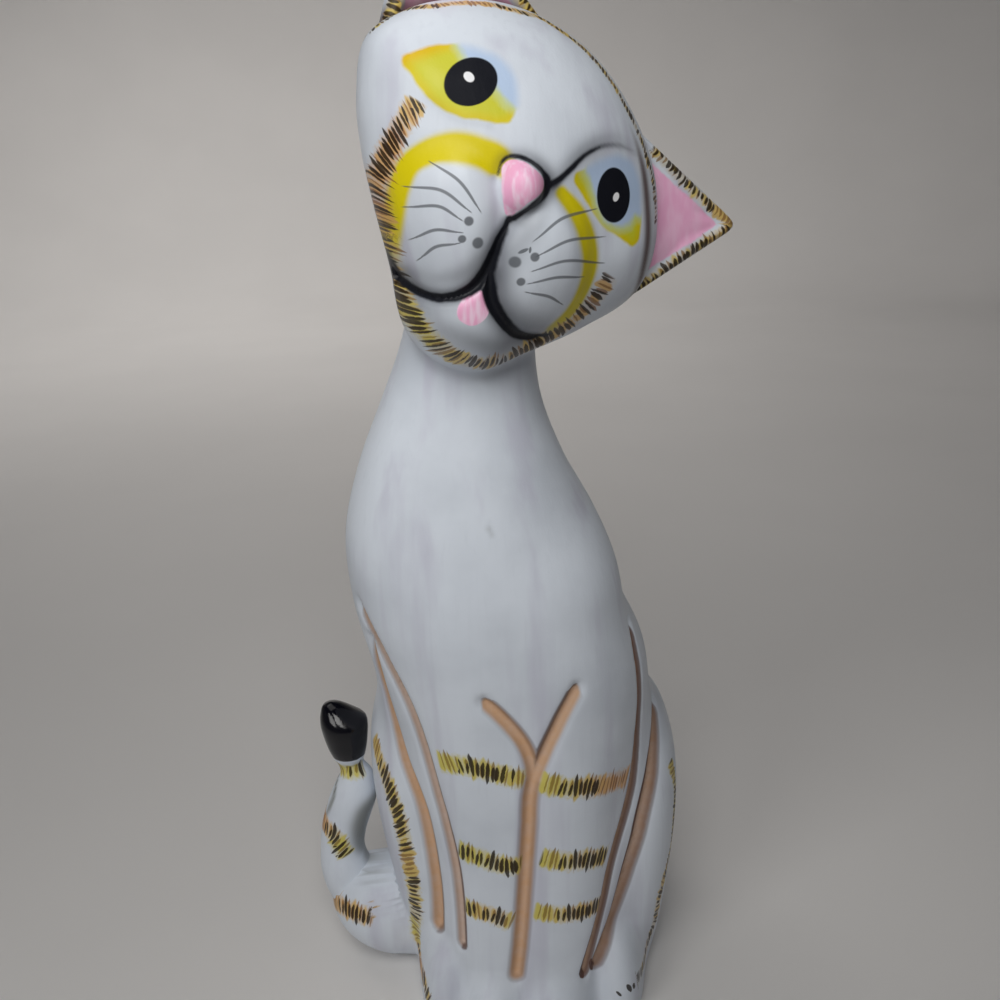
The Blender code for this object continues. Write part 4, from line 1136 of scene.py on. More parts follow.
class Markings:
    """Measures every marking on the finished mesh and keeps it as attributes.

    Args:
        mesh: The joined figure.
        trunk: Solid of the body and head.
        ears: Both ears.
        tail: The tail.
        part: Number of the Part that each vertex belongs to.
    """

    def __init__(self, mesh: bpy.types.Mesh, trunk: Trunk, ears: Sequence[Ear], tail: Tail,
                 part: np.ndarray) -> None:
        self.mesh = mesh
        self.trunk = trunk
        self.ears = ears
        self.tail = tail
        self.part = part
        self.places = read_all(mesh.vertices, "co", 3)
        self.normals = read_all(mesh.vertex_normals, "vector", 3)
        self.face = trunk.head.local(self.places)
        self.on_face = (part == Part.HEAD.value) & (self.face[:, 2] > FACE_BACK)
        count = len(self.places)
        self.cover = {paint: np.zeros(count) for paint in Paint}
        self.depth = {shape: np.full(count, OUTSIDE) for shape in Shape}
        self.hair = np.full((count, 3), CLOSENESS[0])
        self.look = np.zeros((count, 3))
        self.closest = np.full(count, FAR)

    def near(self, chosen: np.ndarray, path: np.ndarray, reach: float) -> np.ndarray:
        """Indices of the chosen vertices inside the path's box, grown by a reach."""
        low = path[:, :3].min(axis=0) - reach
        high = path[:, :3].max(axis=0) + reach
        return np.flatnonzero(chosen & np.all((self.places > low) & (self.places < high), axis=1))

    def hatch(self, chosen: np.ndarray, rows: np.ndarray, half_length: float, period: float) -> None:
        """Measures one row of strokes.

        Args:
            chosen: Which vertices may carry it.
            rows: Place, slant, ground, warmth and darkness along its line, in metres. A place of two
                columns lies in the face's plane.
            half_length: Half length of a stroke, in millimetres.
            period: Distance between strokes, in millimetres.

        The place along the line is its length up to the nearest row plus the offset times the tangent,
        over the period. The place across is what is left of the distance, over the half length, with
        the sign of the offset times the normal crossed with the tangent.
        """
        half_length *= MM
        period *= MM
        flat = rows.shape[1] == 6
        axes = 2 if flat else 3
        index = np.flatnonzero(chosen) if flat else self.near(chosen, rows, HATCH_BOX * half_length)
        if not len(index):
            return
        places = self.face[index, :2] if flat else self.places[index]
        tangent = unit(np.gradient(rows[:, :axes], axis=0))
        length = run_length(rows[:, :axes])
        nearest, gap = nearest_of(places, rows, axes)
        offset = places - rows[nearest, :axes]
        ahead = (offset * tangent[nearest]).sum(-1)
        if flat:
            sideways = np.column_stack([-tangent[nearest, 1], tangent[nearest, 0]])
        else:
            sideways = np.cross(self.normals[index], tangent[nearest])
        apart = np.sqrt(np.clip(gap ** 2 - ahead ** 2, 0.0, None))
        across = np.copysign(apart, (offset * sideways).sum(-1)) / half_length
        along = (length[nearest] + ahead) / period
        past = np.maximum(-along, along - length[-1] / period)
        close = np.minimum(HATCH_SIDE[0] - HATCH_SIDE[1] * gap / half_length, HATCH_END * (1.0 - past))
        score = np.abs(across) + 2.0 * np.clip(past, 0.0, None)
        wins = (score < self.closest[index]) & (gap < HATCH_KEEP * half_length)
        kept = index[wins]
        self.closest[kept] = score[wins]
        slanted = along + rows[nearest, axes] * across
        self.hair[kept] = np.column_stack([slanted, across, np.clip(close, *CLOSENESS)])[wins]
        self.look[kept] = rows[nearest, axes + 1:axes + 4][wins]

    def spray(self, chosen: np.ndarray, rows: np.ndarray, paint: Paint, power: float) -> None:
        """Adds an airbrushed line whose rows end in half width and strength, in metres."""
        axes = rows.shape[1] - 2
        places = self.face[:, :2] if axes == 2 else self.places
        index = np.flatnonzero(chosen) if axes == 2 else self.near(chosen, rows, 3.0 * rows[:, -2].max())
        if not len(index):
            return
        nearest, gap = nearest_of(places[index], rows, axes)
        strength = rows[nearest, -1] * np.exp(-(gap / rows[nearest, -2]) ** power)
        kept = self.cover[paint][index]
        self.cover[paint][index] = 1.0 - (1.0 - kept) * (1.0 - strength)

    def raise_depth(self, shape: Shape, index: np.ndarray, depth: np.ndarray) -> None:
        """Keeps the greater of the depth so far and a new one, in millimetres."""
        self.depth[shape][index] = np.maximum(self.depth[shape][index], depth)

    def paint_hatches(self) -> None:
        """Every row of strokes: on the head, legs, haunches, paws, tail and both ears' rims."""
        body = (self.part == Part.TRUNK.value) & (self.places[:, 1] < BODY_BACK)
        tail = self.part == Part.TAIL.value
        ridge = np.array(RIDGE_HATCH.route)
        ridge[:, :3] = self.trunk.head.world(ridge[:, :3] * MM)
        laid = [(self.part == Part.HEAD.value, RIDGE_HATCH, smooth_path(ridge, FINE))]
        for hatch in (CHEEK_HATCH, *CHIN_HATCHES):
            laid.append((self.on_face, hatch, smooth_path(in_metres(hatch.route, 0, 1), FINE, axes=2)))
        for hatch in LEG_HATCHES:
            laid.append((body, hatch, self.trunk.skin_route(in_metres(hatch.route, 1))[:, :7]))
        for hatch in HAUNCH_HATCHES + ROOT_HATCHES:
            laid.append((body, hatch, smooth_path(in_metres(hatch.route, 0, 1, 2), FINE)))
        for hatch in TAIL_HATCHES:
            laid.append((tail, hatch, self.tail.front_route(in_metres(hatch.route, 0, 1))))
        for chosen, hatch, rows in laid:
            self.hatch(chosen, rows, hatch.half_length, hatch.period)
        for ear in self.ears:
            route = ear.rim_route()
            gold = soft_step(route[:, 3], 0.45, 0.9)
            look = np.column_stack([0 * gold, 0.55 + 0.4 * gold, 0.35 + 0.2 * gold, 0.9 - 0.25 * gold])
            near = (self.part == Part.EAR.value) & (ear.away(self.places) < EAR_MARGIN)
            rows = np.column_stack([route[:, :3], look])
            self.hatch(near, rows, EAR_HATCH_HALF_LENGTH, EAR_HATCH_PERIOD)

    def paint_sprays(self) -> None:
        """Every sprayed line: yellow muzzle, grey airbrush and painted shade, and the ears' seams, which
        are partly painted shade.
        """
        trunk = self.part == Part.TRUNK.value
        tail = self.part == Part.TAIL.value
        laid = [(trunk, spray, in_metres(smooth_path(spray.route, DRAWN_FINE), 0, 1, 2, 3))
                for spray in SPRAYS_ON_BODY]
        laid += [(self.on_face, spray, in_metres(smooth_path(spray.route, DRAWN_FINE, axes=2), 0, 1, 2))
                 for spray in SPRAYS_ON_FACE]
        laid += [(tail, spray, self.tail.front_route(in_metres(spray.route, 0, 1, 2)))
                 for spray in SPRAYS_ON_TAIL]
        for chosen, spray, rows in laid:
            self.spray(chosen, rows, spray.paint, spray.power)
        # Dark seam on each ear near the head and on the head round each ear: seam paint together with
        # painted shade where the two meet.
        ear = self.part == Part.EAR.value
        joint = np.clip(self.trunk.field(self.places[ear]), 0.0, None)
        self.cover[Paint.SEAM][ear] = np.exp(-(joint / SEAM_ON_EAR) ** 3)
        head = np.flatnonzero(self.part == Part.HEAD.value)
        for one in self.ears:
            away = np.clip(one.away(self.places[head]), 0.0, None)
            seam = np.exp(-(away / SEAM_ON_HEAD) ** 2)
            self.cover[Paint.SEAM][head] = np.maximum(self.cover[Paint.SEAM][head], seam)

    def paint_grooves(self) -> None:
        """Distance to the nearest groove in half widths, and how its paint and the painted shade along its
        edges look there.

        The distance leaves out how far a place is sunk along the groove's ray. From the start of the
        route the half width grows, and the cover grows sooner.
        """
        reach = np.full(len(self.places), FAR)
        look = np.zeros((len(self.places), 3))
        for paint in GROOVE_PAINT:
            route = self.trunk.skin_route(self.trunk.grooves[paint.groove].route)
            half_width = paint.half_width * MM
            tangent = np.gradient(route[:, :3], axis=0)
            side = np.cross(route[:, 3:], tangent)
            length = np.cumsum(np.linalg.norm(tangent, axis=1)) / MM
            grown = soft_step(length, -0.1 * paint.growth - 0.1, paint.growth)
            index = self.near(self.part == Part.TRUNK.value, route, 4.0 * half_width)
            nearest, _ = nearest_of(self.places[index], route, 3)
            offset = self.places[index] - route[nearest, :3]
            ray = route[nearest, 3:]
            offset = offset - np.minimum((offset * ray).sum(-1), 0.0)[:, None] * ray
            gap = np.linalg.norm(offset, axis=-1) / (half_width * (0.3 + 0.7 * grown[nearest]))
            # Darkness of the painted shade on the side of the groove where the place lies.
            dark = np.where((offset * side[nearest]).sum(-1) > 0.0, paint.right, paint.left)
            wins = gap < reach[index]
            kept = index[wins]
            reach[kept] = gap[wins]
            full = soft_step(length, -0.4, 0.3 * paint.growth)[nearest]
            values = np.column_stack([paint.cover * full, dark * full, np.full_like(gap, paint.rust)])
            look[kept] = values[wins]
        write_attribute(self.mesh, "groove", reach)
        write_attribute(self.mesh, "groove_look", look)

    def paint_shapes(self) -> None:
        """Eyes, nose, tongue, the ears' pink, mouth and outlines, as depths in millimetres."""
        index = np.flatnonzero(self.on_face)
        flat = self.face[index, :2] / MM
        for patch in PATCHES:
            loop = smooth_loop(patch.loop, DRAWN_FINE)
            self.raise_depth(patch.shape, index, loop_depth(flat, loop))
        for line in INK_LINES:
            rows = smooth_path(line.route, INK_FINE, axes=2)
            nearest, gap = nearest_of(flat, rows, 2)
            self.raise_depth(Shape.INK, index, rows[nearest, 2] - gap)
        ear = np.flatnonzero(self.part == Part.EAR.value)
        for one in self.ears:
            near = ear[one.away(self.places[ear]) < EAR_MARGIN]
            self.raise_depth(Shape.PINK, near, one.pink(self.places[near]) / MM)

    def paint_whiskers(self) -> None:
        """Signed place across the nearest whisker in half widths, and how near it is.

        Every other whisker runs backwards, so that the sign keeps between neighbours.
        """
        index = np.flatnonzero(self.on_face)
        flat = self.face[index, :2] / MM
        best = np.full(len(index), np.inf)
        signed = np.zeros(len(index))
        for number, whisker in enumerate(WHISKERS):
            rows = smooth_path(whisker[::-1 if number % 2 else 1], WHISKER_FINE, axes=2)
            share = np.linspace(0.0, 1.0, len(rows))
            half = 0.18 + 0.24 * np.sin(np.pi * share) ** 0.6
            tangent = unit(np.gradient(rows, axis=0))
            nearest, gap = nearest_of(flat, rows, 2)
            offset = flat - rows[nearest]
            across = offset[:, 0] * tangent[nearest, 1] - offset[:, 1] * tangent[nearest, 0]
            wins = gap < best
            best = np.where(wins, gap, best)
            signed = np.where(wins, across / half[nearest], signed)
        whole = np.full(len(self.places), FAR)
        close = np.zeros(len(self.places))
        whole[index] = np.clip(signed, -FAR, FAR)
        close[index] = soft_step(-best, -1.9, -1.3)
        write_attribute(self.mesh, "whisker", np.column_stack([whole, close, 0.0 * close]))

    def paint_all(self) -> None:
        """Measures everything and writes the attributes."""
        self.paint_hatches()
        self.paint_sprays()
        self.paint_grooves()
        self.paint_shapes()
        self.paint_whiskers()
        for paint, cover in self.cover.items():
            write_attribute(self.mesh, paint.value, cover)
        for shape, depth in self.depth.items():
            write_attribute(self.mesh, shape.value, depth)
        write_attribute(self.mesh, "hair", self.hair)
        write_attribute(self.mesh, "hair_look", self.look)


# ---------------------------------------------------------------- finishes
class Graph:
    """Shorthand for building the nodes of one material round its Principled shader.

    Args:
        name: Name of the material.
    """

    def __init__(self, name: str) -> None:
        self.material = bpy.data.materials.new(name)
        self.material.use_nodes = True
        self.tree = self.material.node_tree
        self.shader = self.tree.nodes["Principled BSDF"]
        self.place = self.node("ShaderNodeTexCoord").outputs["Object"]

    def node(self, kind: str, **settings: object) -> bpy.types.Node:
        """New node of a kind, with its settings."""
        made = self.tree.nodes.new(kind)
        for name, setting in settings.items():
            setattr(made, name, setting)
        return made

    def feed(self, socket: Socket, value: Value) -> None:
        """Links a socket into another, or sets a plain value on it."""
        if isinstance(value, bpy.types.NodeSocket):
            self.tree.links.new(value, socket)
        else:
            socket.default_value = value

    def math(self, operation: str, first: Value, second: Value = 0.0, third: Value = 0.0) -> Socket:
        """One sum of up to three numbers."""
        made = self.node("ShaderNodeMath", operation=operation)
        for socket, value in zip(made.inputs, (first, second, third)):
            self.feed(socket, value)
        return made.outputs[0]

    def product(self, first: Value, *others: Value) -> Socket:
        """Product of two or more numbers."""
        for other in others:
            first = self.math("MULTIPLY", first, other)
        return first

    def again(self, number: Socket, factor: float) -> Socket:
        """Another random number made from one: the fraction of its multiple."""
        return self.math("FRACT", self.math("MULTIPLY", number, factor))

    def wobble(self, scale: float, detail: float) -> Socket:
        """Noise that swings about nought."""
        return self.math("SUBTRACT", self.noise(scale, detail), 0.5)

    def bump(self, height: Socket, strength: float, depth: float) -> None:
        """Bumps the surface by a height between 0 and 1, which stands for a depth in metres."""
        node = self.node("ShaderNodeBump")
        node.inputs["Strength"].default_value = strength
        node.inputs["Distance"].default_value = depth
        self.feed(node.inputs["Height"], height)
        self.feed(self.shader.inputs["Normal"], node.outputs[0])

    def vector(self, operation: str, first: Value, second: Value = (0.0, 0.0, 0.0)) -> bpy.types.Node:
        """One sum of two vectors, as its node."""
        made = self.node("ShaderNodeVectorMath", operation=operation)
        self.feed(made.inputs[0], first)
        self.feed(made.inputs[1], second)
        return made

    def step(self, value: Value, low: float, high: float, start: float = 0.0, end: float = 1.0) -> Socket:
        """Smooth step from start at low to end at high."""
        made = self.node("ShaderNodeMapRange", interpolation_type="SMOOTHSTEP")
        for socket, setting in zip(made.inputs, (value, low, high, start, end)):
            self.feed(socket, setting)
        return made.outputs[0]

    def mix(self, share: Value, first: Value, second: Value) -> Socket:
        """Blend of two colours."""
        made = self.node("ShaderNodeMix", data_type="RGBA")
        self.feed(made.inputs[0], share)
        self.feed(made.inputs[6], first if isinstance(first, bpy.types.NodeSocket) else (*first, 1.0))
        self.feed(made.inputs[7], second if isinstance(second, bpy.types.NodeSocket) else (*second, 1.0))
        return made.outputs[2]

    def attribute(self, name: str) -> Socket:
        """Number kept on the mesh."""
        return self.node("ShaderNodeAttribute", attribute_name=name).outputs["Fac"]

    def parts(self, name: str) -> tuple[Socket, Socket, Socket]:
        """Three numbers kept on the mesh under one name."""
        vector = self.node("ShaderNodeAttribute", attribute_name=name).outputs["Vector"]
        split = self.node("ShaderNodeSeparateXYZ")
        self.feed(split.inputs[0], vector)
        return split.outputs[0], split.outputs[1], split.outputs[2]

    def noise(self, scale: float, detail: float = 2.0, stretch: Optional[tuple] = None) -> Socket:
        """Noise on the object's coordinates, stretched by a factor for each axis."""
        made = self.node("ShaderNodeTexNoise")
        place = self.place
        if stretch is not None:
            place = self.vector("MULTIPLY", self.place, stretch).outputs[0]
        self.feed(made.inputs["Vector"], place)
        made.inputs["Scale"].default_value = scale
        made.inputs["Detail"].default_value = detail
        return made.outputs[0]

    def chance(self, number: Socket, seed: float) -> tuple[Socket, Socket, Socket]:
        """Three random numbers for each whole number."""
        made = self.node("ShaderNodeTexWhiteNoise", noise_dimensions="2D")
        joined = self.node("ShaderNodeCombineXYZ")
        self.feed(joined.inputs[0], number)
        self.feed(joined.inputs[1], seed)
        self.feed(made.inputs["Vector"], joined.outputs[0])
        split = self.node("ShaderNodeSeparateColor")
        self.feed(split.inputs[0], made.outputs["Color"])
        return split.outputs[0], split.outputs[1], split.outputs[2]


@dataclass(frozen=True)
class SatinPaint:
    """Bluish white brushed paint with a satin sheen: the base that every marking lies on.

    Attributes:
        white: Colour where the coat is thick.
        thin: Colour where it is thin or handled.
        roughness: Lowest and highest roughness.
        violet: Colour of the broad upright sweeps.
        sheen_level: Specular level of the coat.
        gloss_level: What a glossy marking adds to it.
        sweep_scale: Frequency of the sweeps, and sweep_stretch how far they are drawn out.
        cloud_scale: Frequency of the thin places.
        streak_scale: Frequency of the brush's streaks, and streak_stretch how far they are drawn out.
        grain_scale: Frequency of the finest bumps.
        wave_scale: Frequency of the broadest bumps.
        dull_scale: Frequency of the changes in roughness.
        streak_share: Greatest share of the thin colour in a streak.
        sweep_share: Greatest share of violet in a sweep.
        gloss_loss: What a glossy marking takes off the roughness.
        matt_share: Share of the specular level that a matt marking takes away.
        bump_strength: Strength of the bumps.
        bump_depth: Height that they stand for, in metres.
    """

    white: tuple = (0.735, 0.79, 0.87)
    thin: tuple = (0.63, 0.68, 0.755)
    roughness: tuple = (0.33, 0.48)
    violet: tuple = (0.55, 0.55, 0.66)
    sheen_level: float = 0.26
    gloss_level: float = 0.14
    sweep_scale: float = 75.0
    sweep_stretch: tuple = (1.0, 1.0, 0.09)
    cloud_scale: float = 22.0
    streak_scale: float = 420.0
    streak_stretch: tuple = (1.0, 1.0, 0.07)
    grain_scale: float = 1400.0
    wave_scale: float = 70.0
    dull_scale: float = 90.0
    streak_share: float = 0.22
    sweep_share: float = 0.55
    gloss_loss: float = 0.26
    matt_share: float = 0.8
    bump_strength: float = 0.55
    bump_depth: float = 0.00022

    def colour(self, graph: Graph) -> Socket:
        """Colour of the coat: clouds of thin paint, and fine streaks left by the brush."""
        clouds = graph.step(graph.noise(self.cloud_scale, 4.0), 0.42, 0.72)
        base = graph.mix(clouds, self.white, self.thin)
        streaks = graph.noise(self.streak_scale, 2.0, self.streak_stretch)
        base = graph.mix(graph.step(streaks, 0.55, 0.75, 0.0, self.streak_share), base, self.thin)
        sweeps = graph.noise(self.sweep_scale, 3.0, self.sweep_stretch)
        return graph.mix(graph.step(sweeps, 0.5, 0.72, 0.0, self.sweep_share), base, self.violet)

    def finish(self, graph: Graph, colour: Socket, gloss: Optional[Socket] = None,
               matt: Optional[Socket] = None) -> bpy.types.Material:
        """Material with a painted colour, and the coat's roughness and bump.

        Args:
            graph: Nodes of the material.
            colour: Colour of the coat with its markings.
            gloss: Cover of a glossy marking.
            matt: Cover of a matt marking.

        Returns:
            The material.
        """
        graph.feed(graph.shader.inputs["Base Color"], colour)
        streaks = graph.noise(self.streak_scale, 2.0, self.streak_stretch)
        rough = graph.step(graph.noise(self.dull_scale, 3.0), 0.3, 0.7, *self.roughness)
        level = graph.shader.inputs["Specular IOR Level"]
        level.default_value = self.sheen_level
        if gloss is not None:
            rough = graph.math("MULTIPLY_ADD", gloss, -self.gloss_loss, rough)
            graph.feed(level, graph.math("MULTIPLY_ADD", gloss, self.gloss_level, self.sheen_level))
        if matt is not None:
            loss = -self.matt_share * self.sheen_level
            graph.feed(level, graph.math("MULTIPLY_ADD", matt, loss, self.sheen_level))
        graph.feed(graph.shader.inputs["Roughness"], rough)
        grain = graph.noise(self.grain_scale, 2.0)
        waves = graph.noise(self.wave_scale, 2.0, (1.0, 1.0, 0.6))
        height = graph.math("MULTIPLY_ADD", streaks, 0.6, graph.math("MULTIPLY", grain, 0.25))
        height = graph.math("MULTIPLY_ADD", waves, 2.2, height)
        graph.bump(height, self.bump_strength, self.bump_depth)
        return graph.material


@dataclass(frozen=True)
class HairStrokes:
    """Short tapered brush strokes across a line, over a tinted ground.

    Attributes:
        cool_ground: Colour of the ground at no warmth.
        warm_ground: Colour of the ground at full warmth.
        gold: Colour of the lighter strokes at no warmth.
        rust: Colour of the lighter strokes at full warmth.
        black: Colour of the dark strokes.
    """

    cool_ground: tuple = (0.66, 0.57, 0.09)
    warm_ground: tuple = (0.72, 0.40, 0.15)
    gold: tuple = (0.27, 0.17, 0.03)
    rust: tuple = (0.28, 0.10, 0.035)
    black: tuple = (0.020, 0.012, 0.006)
    ground_width: float = 1.1
    light_width: float = 0.44
    dark_width: float = 0.62
    light_share: float = 0.85
    soft: float = 0.10
    ground_soft: float = 0.25
    ragged_scale: float = 700.0
    mist_cover: float = 0.6
    ground_cover: float = 0.85
    light_cover: float = 0.8
    dark_cover: float = 0.92
    ground_seed: float = 7.0
    light_seed: float = 3.0
    dark_seed: float = 11.0

    def stroke(self, graph: Graph, along: Socket, across: Socket, seed: float, width: float,
               share: Value, soft: float) -> Socket:
        """Cover of one layer of strokes.

        Args:
            graph: Nodes of the material.
            along: Place along the line, one whole number for each stroke.
            across: Place across the line, from -1 to 1.
            seed: Number that sets this layer's chances.
            width: Width of a stroke as a share of the spacing.
            share: How many of the strokes are there.
            soft: Width of the edge as a share of the spacing.

        Returns:
            1 inside a stroke: its place, lean, width and length are random for each whole number, and
            its width tapers towards both ends.
        """
        shifted = graph.math("ADD", along, seed * 0.37)
        cell = graph.math("FLOOR", shifted)
        first, second, third = graph.chance(cell, seed)
        middle = graph.math("FRACT", shifted)
        middle = graph.math("SUBTRACT", middle, graph.math("MULTIPLY_ADD", first, 0.44, 0.28))
        lean = graph.math("MULTIPLY", graph.math("SUBTRACT", second, 0.5), 0.5)
        middle = graph.math("ABSOLUTE", graph.math("MULTIPLY_ADD", lean, across, middle))
        reach = graph.math("MULTIPLY_ADD", graph.again(second, 7.3), 0.65, 0.5)
        slide = graph.math("SUBTRACT", graph.again(first, 5.1), 0.5)
        slid = graph.math("ABSOLUTE", graph.math("MULTIPLY_ADD", slide, 0.5, across))
        taper = graph.math("SUBTRACT", 1.0, graph.math("POWER", graph.math("DIVIDE", slid, reach), 3.0))
        half = graph.math("MULTIPLY", taper, graph.math("MULTIPLY_ADD", third, 0.55 * width, 0.30 * width))
        inside = graph.step(graph.math("SUBTRACT", half, middle), -soft, soft)
        there = graph.math("LESS_THAN", graph.again(third, 5.7), share)
        return graph.math("MULTIPLY", inside, there)

    def lay(self, graph: Graph, base: Socket) -> Socket:
        """Base colour with the ground and two layers of strokes over it."""
        along, across, close = graph.parts("hair")
        close = graph.step(close, 0.0, 1.0)
        ground, warmth, dark = graph.parts("hair_look")
        ragged = graph.wobble(self.ragged_scale, 2.0)
        wide = graph.math("MULTIPLY_ADD", ragged, 0.9, graph.math("ABSOLUTE", across))
        mist = graph.product(graph.step(wide, 1.2, 0.5), close, ground)
        tint = graph.mix(warmth, self.cool_ground, self.warm_ground)
        colour = graph.mix(graph.math("MULTIPLY", mist, self.mist_cover), base, tint)
        wavy = graph.math("MULTIPLY_ADD", ragged, 0.25, along)
        broad = self.stroke(graph, graph.math("MULTIPLY", wavy, 0.7), across, self.ground_seed,
                            self.ground_width, ground, self.ground_soft)
        colour = graph.mix(graph.product(broad, close, self.ground_cover), colour, tint)
        light = self.stroke(graph, wavy, across, self.light_seed, self.light_width, self.light_share,
                            self.soft)
        light = graph.product(light, close, graph.step(ground, 0.05, 0.3))
        brown = graph.mix(warmth, self.gold, self.rust)
        colour = graph.mix(graph.math("MULTIPLY", light, self.light_cover), colour, brown)
        black = self.stroke(graph, wavy, across, self.dark_seed, self.dark_width, dark, self.soft)
        return graph.mix(graph.product(black, close, self.dark_cover), colour, self.black)


@dataclass(frozen=True)
class BodyFinish:
    """Satin white with peach and rust grooves, painted shade along their edges and round the gap by the
    tail, a small grey scuff, and rows of hair strokes.
    """

    paint: SatinPaint = SatinPaint()
    strokes: HairStrokes = HairStrokes()
    peach: tuple = (0.70, 0.43, 0.25)
    rust: tuple = (0.30, 0.15, 0.09)
    # Colour of the painted shade along the grooves' edges.
    edge: tuple = (0.13, 0.065, 0.05)
    # Colour of the painted shade round the gap by the tail, and of a small scuff.
    airbrush_and_shade: tuple = (0.12, 0.12, 0.09)

    def build(self) -> bpy.types.Material:
        """Material of the body."""
        graph = Graph("body paint")
        colour = self.paint.colour(graph)
        reach = graph.attribute("groove")
        cover, dark, rust = graph.parts("groove_look")
        mist = graph.step(graph.noise(260.0, 3.0), 0.25, 0.75, 0.86, 1.0)
        fill = graph.product(graph.step(reach, 1.15, 0.6), cover, mist)
        colour = graph.mix(fill, colour, graph.mix(rust, self.peach, self.rust))
        # Painted shade along the grooves' edges.
        edge = graph.math("MULTIPLY", graph.step(reach, 0.15, 0.7), graph.step(reach, 1.4, 1.05))
        colour = graph.mix(graph.math("MULTIPLY", edge, dark), colour, self.edge)
        # Painted shade round the gap by the tail, and a small scuff.
        colour = graph.mix(graph.attribute(Paint.SMOKE.value), colour, self.airbrush_and_shade)
        colour = self.strokes.lay(graph, colour)
        return self.paint.finish(graph, colour)


@dataclass(frozen=True)
class FaceFinish:
    """Satin white with eyes, nose, mouth, whiskers, yellow muzzle and hair strokes, grey airbrush with
    painted shade in the face's creases, and a dark seam by the ear that is partly painted shade.
    """

    paint: SatinPaint = SatinPaint()
    strokes: HairStrokes = HairStrokes()
    head: Head = Head()
    muzzle: tuple = (0.76, 0.64, 0.004)
    yellow: tuple = (0.72, 0.60, 0.006)
    ochre: tuple = (0.80, 0.44, 0.01)
    lime: tuple = (0.64, 0.63, 0.03)
    pale_green: tuple = (0.60, 0.68, 0.30)
    sky: tuple = (0.50, 0.63, 0.84)
    pink: tuple = (0.93, 0.46, 0.68)
    pale_pink: tuple = (0.97, 0.70, 0.86)
    ink: tuple = (0.010, 0.011, 0.016)
    airbrush_and_shade: tuple = (0.030, 0.032, 0.042)
    grey: tuple = (0.10, 0.11, 0.125)
    seam: tuple = (0.085, 0.040, 0.036)
    light: tuple = (0.92, 0.93, 0.95)

    def spot(self, graph: Graph, spot: Spot, across: Socket, up: Socket, soft: float) -> Socket:
        """Cover of an oval: the scaled distance from its centre, stepped at one."""
        cosine = math.cos(math.radians(spot.tilt))
        sine = math.sin(math.radians(spot.tilt))
        right = graph.math("SUBTRACT", across, spot.centre[0])
        high = graph.math("SUBTRACT", up, spot.centre[1])
        first = graph.math("MULTIPLY_ADD", high, sine, graph.math("MULTIPLY", right, cosine))
        second = graph.math("MULTIPLY_ADD", high, cosine, graph.math("MULTIPLY", right, -sine))
        first = graph.math("DIVIDE", first, spot.halves[0])
        second = graph.math("DIVIDE", second, spot.halves[1])
        size = graph.math("MULTIPLY_ADD", second, second, graph.math("MULTIPLY", first, first))
        return graph.step(graph.math("SQRT", size), 1.0 + soft, 1.0 - soft)

    def build(self) -> bpy.types.Material:
        """Material of the head."""
        graph = Graph("head paint")
        axes = self.head.axes() / MM
        shifts = axes @ np.asarray(self.head.centre)
        flat = []
        for row, shift in zip(axes[:2], shifts[:2]):
            dot = graph.vector("DOT_PRODUCT", graph.place, tuple(row)).outputs["Value"]
            flat.append(graph.math("SUBTRACT", dot, shift))
        across, up = flat
        out = graph.vector("DOT_PRODUCT", graph.place, tuple(axes[2])).outputs["Value"]
        front = graph.math("GREATER_THAN", graph.math("SUBTRACT", out, shifts[2]), 0.0)

        wobble = graph.wobble(320.0, 3.0)
        colour = self.paint.colour(graph)
        yellow = graph.step(graph.attribute(Paint.YELLOW.value), 0.02, 0.74)
        colour = graph.mix(yellow, colour, self.muzzle)

        eye = graph.math("MULTIPLY_ADD", wobble, 0.8, graph.attribute(Shape.EYE.value))
        iris = graph.mix(graph.step(eye, 3.4, 0.2), self.lime, self.yellow)
        tip = graph.step(graph.math("MULTIPLY_ADD", up, -0.6, across), -49.0, -57.0)
        iris = graph.mix(graph.math("MULTIPLY", tip, 0.8), iris, self.ochre)
        sky = graph.math("MULTIPLY_ADD", wobble, 2.0, graph.attribute(Shape.SKY.value))
        iris = graph.mix(graph.step(sky, -3.4, -0.6, 0.0, 0.85), iris, self.pale_green)
        sky = graph.step(sky, -1.2, 1.2)
        iris = graph.mix(sky, iris, self.sky)
        edge = graph.math("DIVIDE", eye, graph.math("MULTIPLY_ADD", sky, 1.2, 0.6))
        colour = graph.mix(graph.step(edge, -1.0, 1.0), colour, iris)

        # Grey airbrush, and painted shade in the brow crease, on the muzzle lobes and on the chin.
        airbrush_and_shade = graph.math("MULTIPLY", graph.attribute(Paint.SMOKE.value), 0.9)
        colour = graph.mix(airbrush_and_shade, colour, self.airbrush_and_shade)
        # Dark seam by the ear, partly painted shade.
        seam = graph.math("MULTIPLY", graph.attribute(Paint.SEAM.value), 0.95)
        colour = graph.mix(seam, colour, self.seam)

        whisker, closeness, _ = graph.parts("whisker")
        hair_line = graph.step(graph.math("ABSOLUTE", whisker), 1.5, 0.6)
        hair_line = graph.product(hair_line, closeness, 0.78)
        colour = graph.mix(hair_line, colour, self.grey)
        for dot in WHISKER_DOTS:
            cover = graph.math("MULTIPLY", self.spot(graph, dot, across, up, 0.22), 0.85)
            colour = graph.mix(graph.math("MULTIPLY", cover, front), colour, self.grey)

        colour = self.strokes.lay(graph, colour)

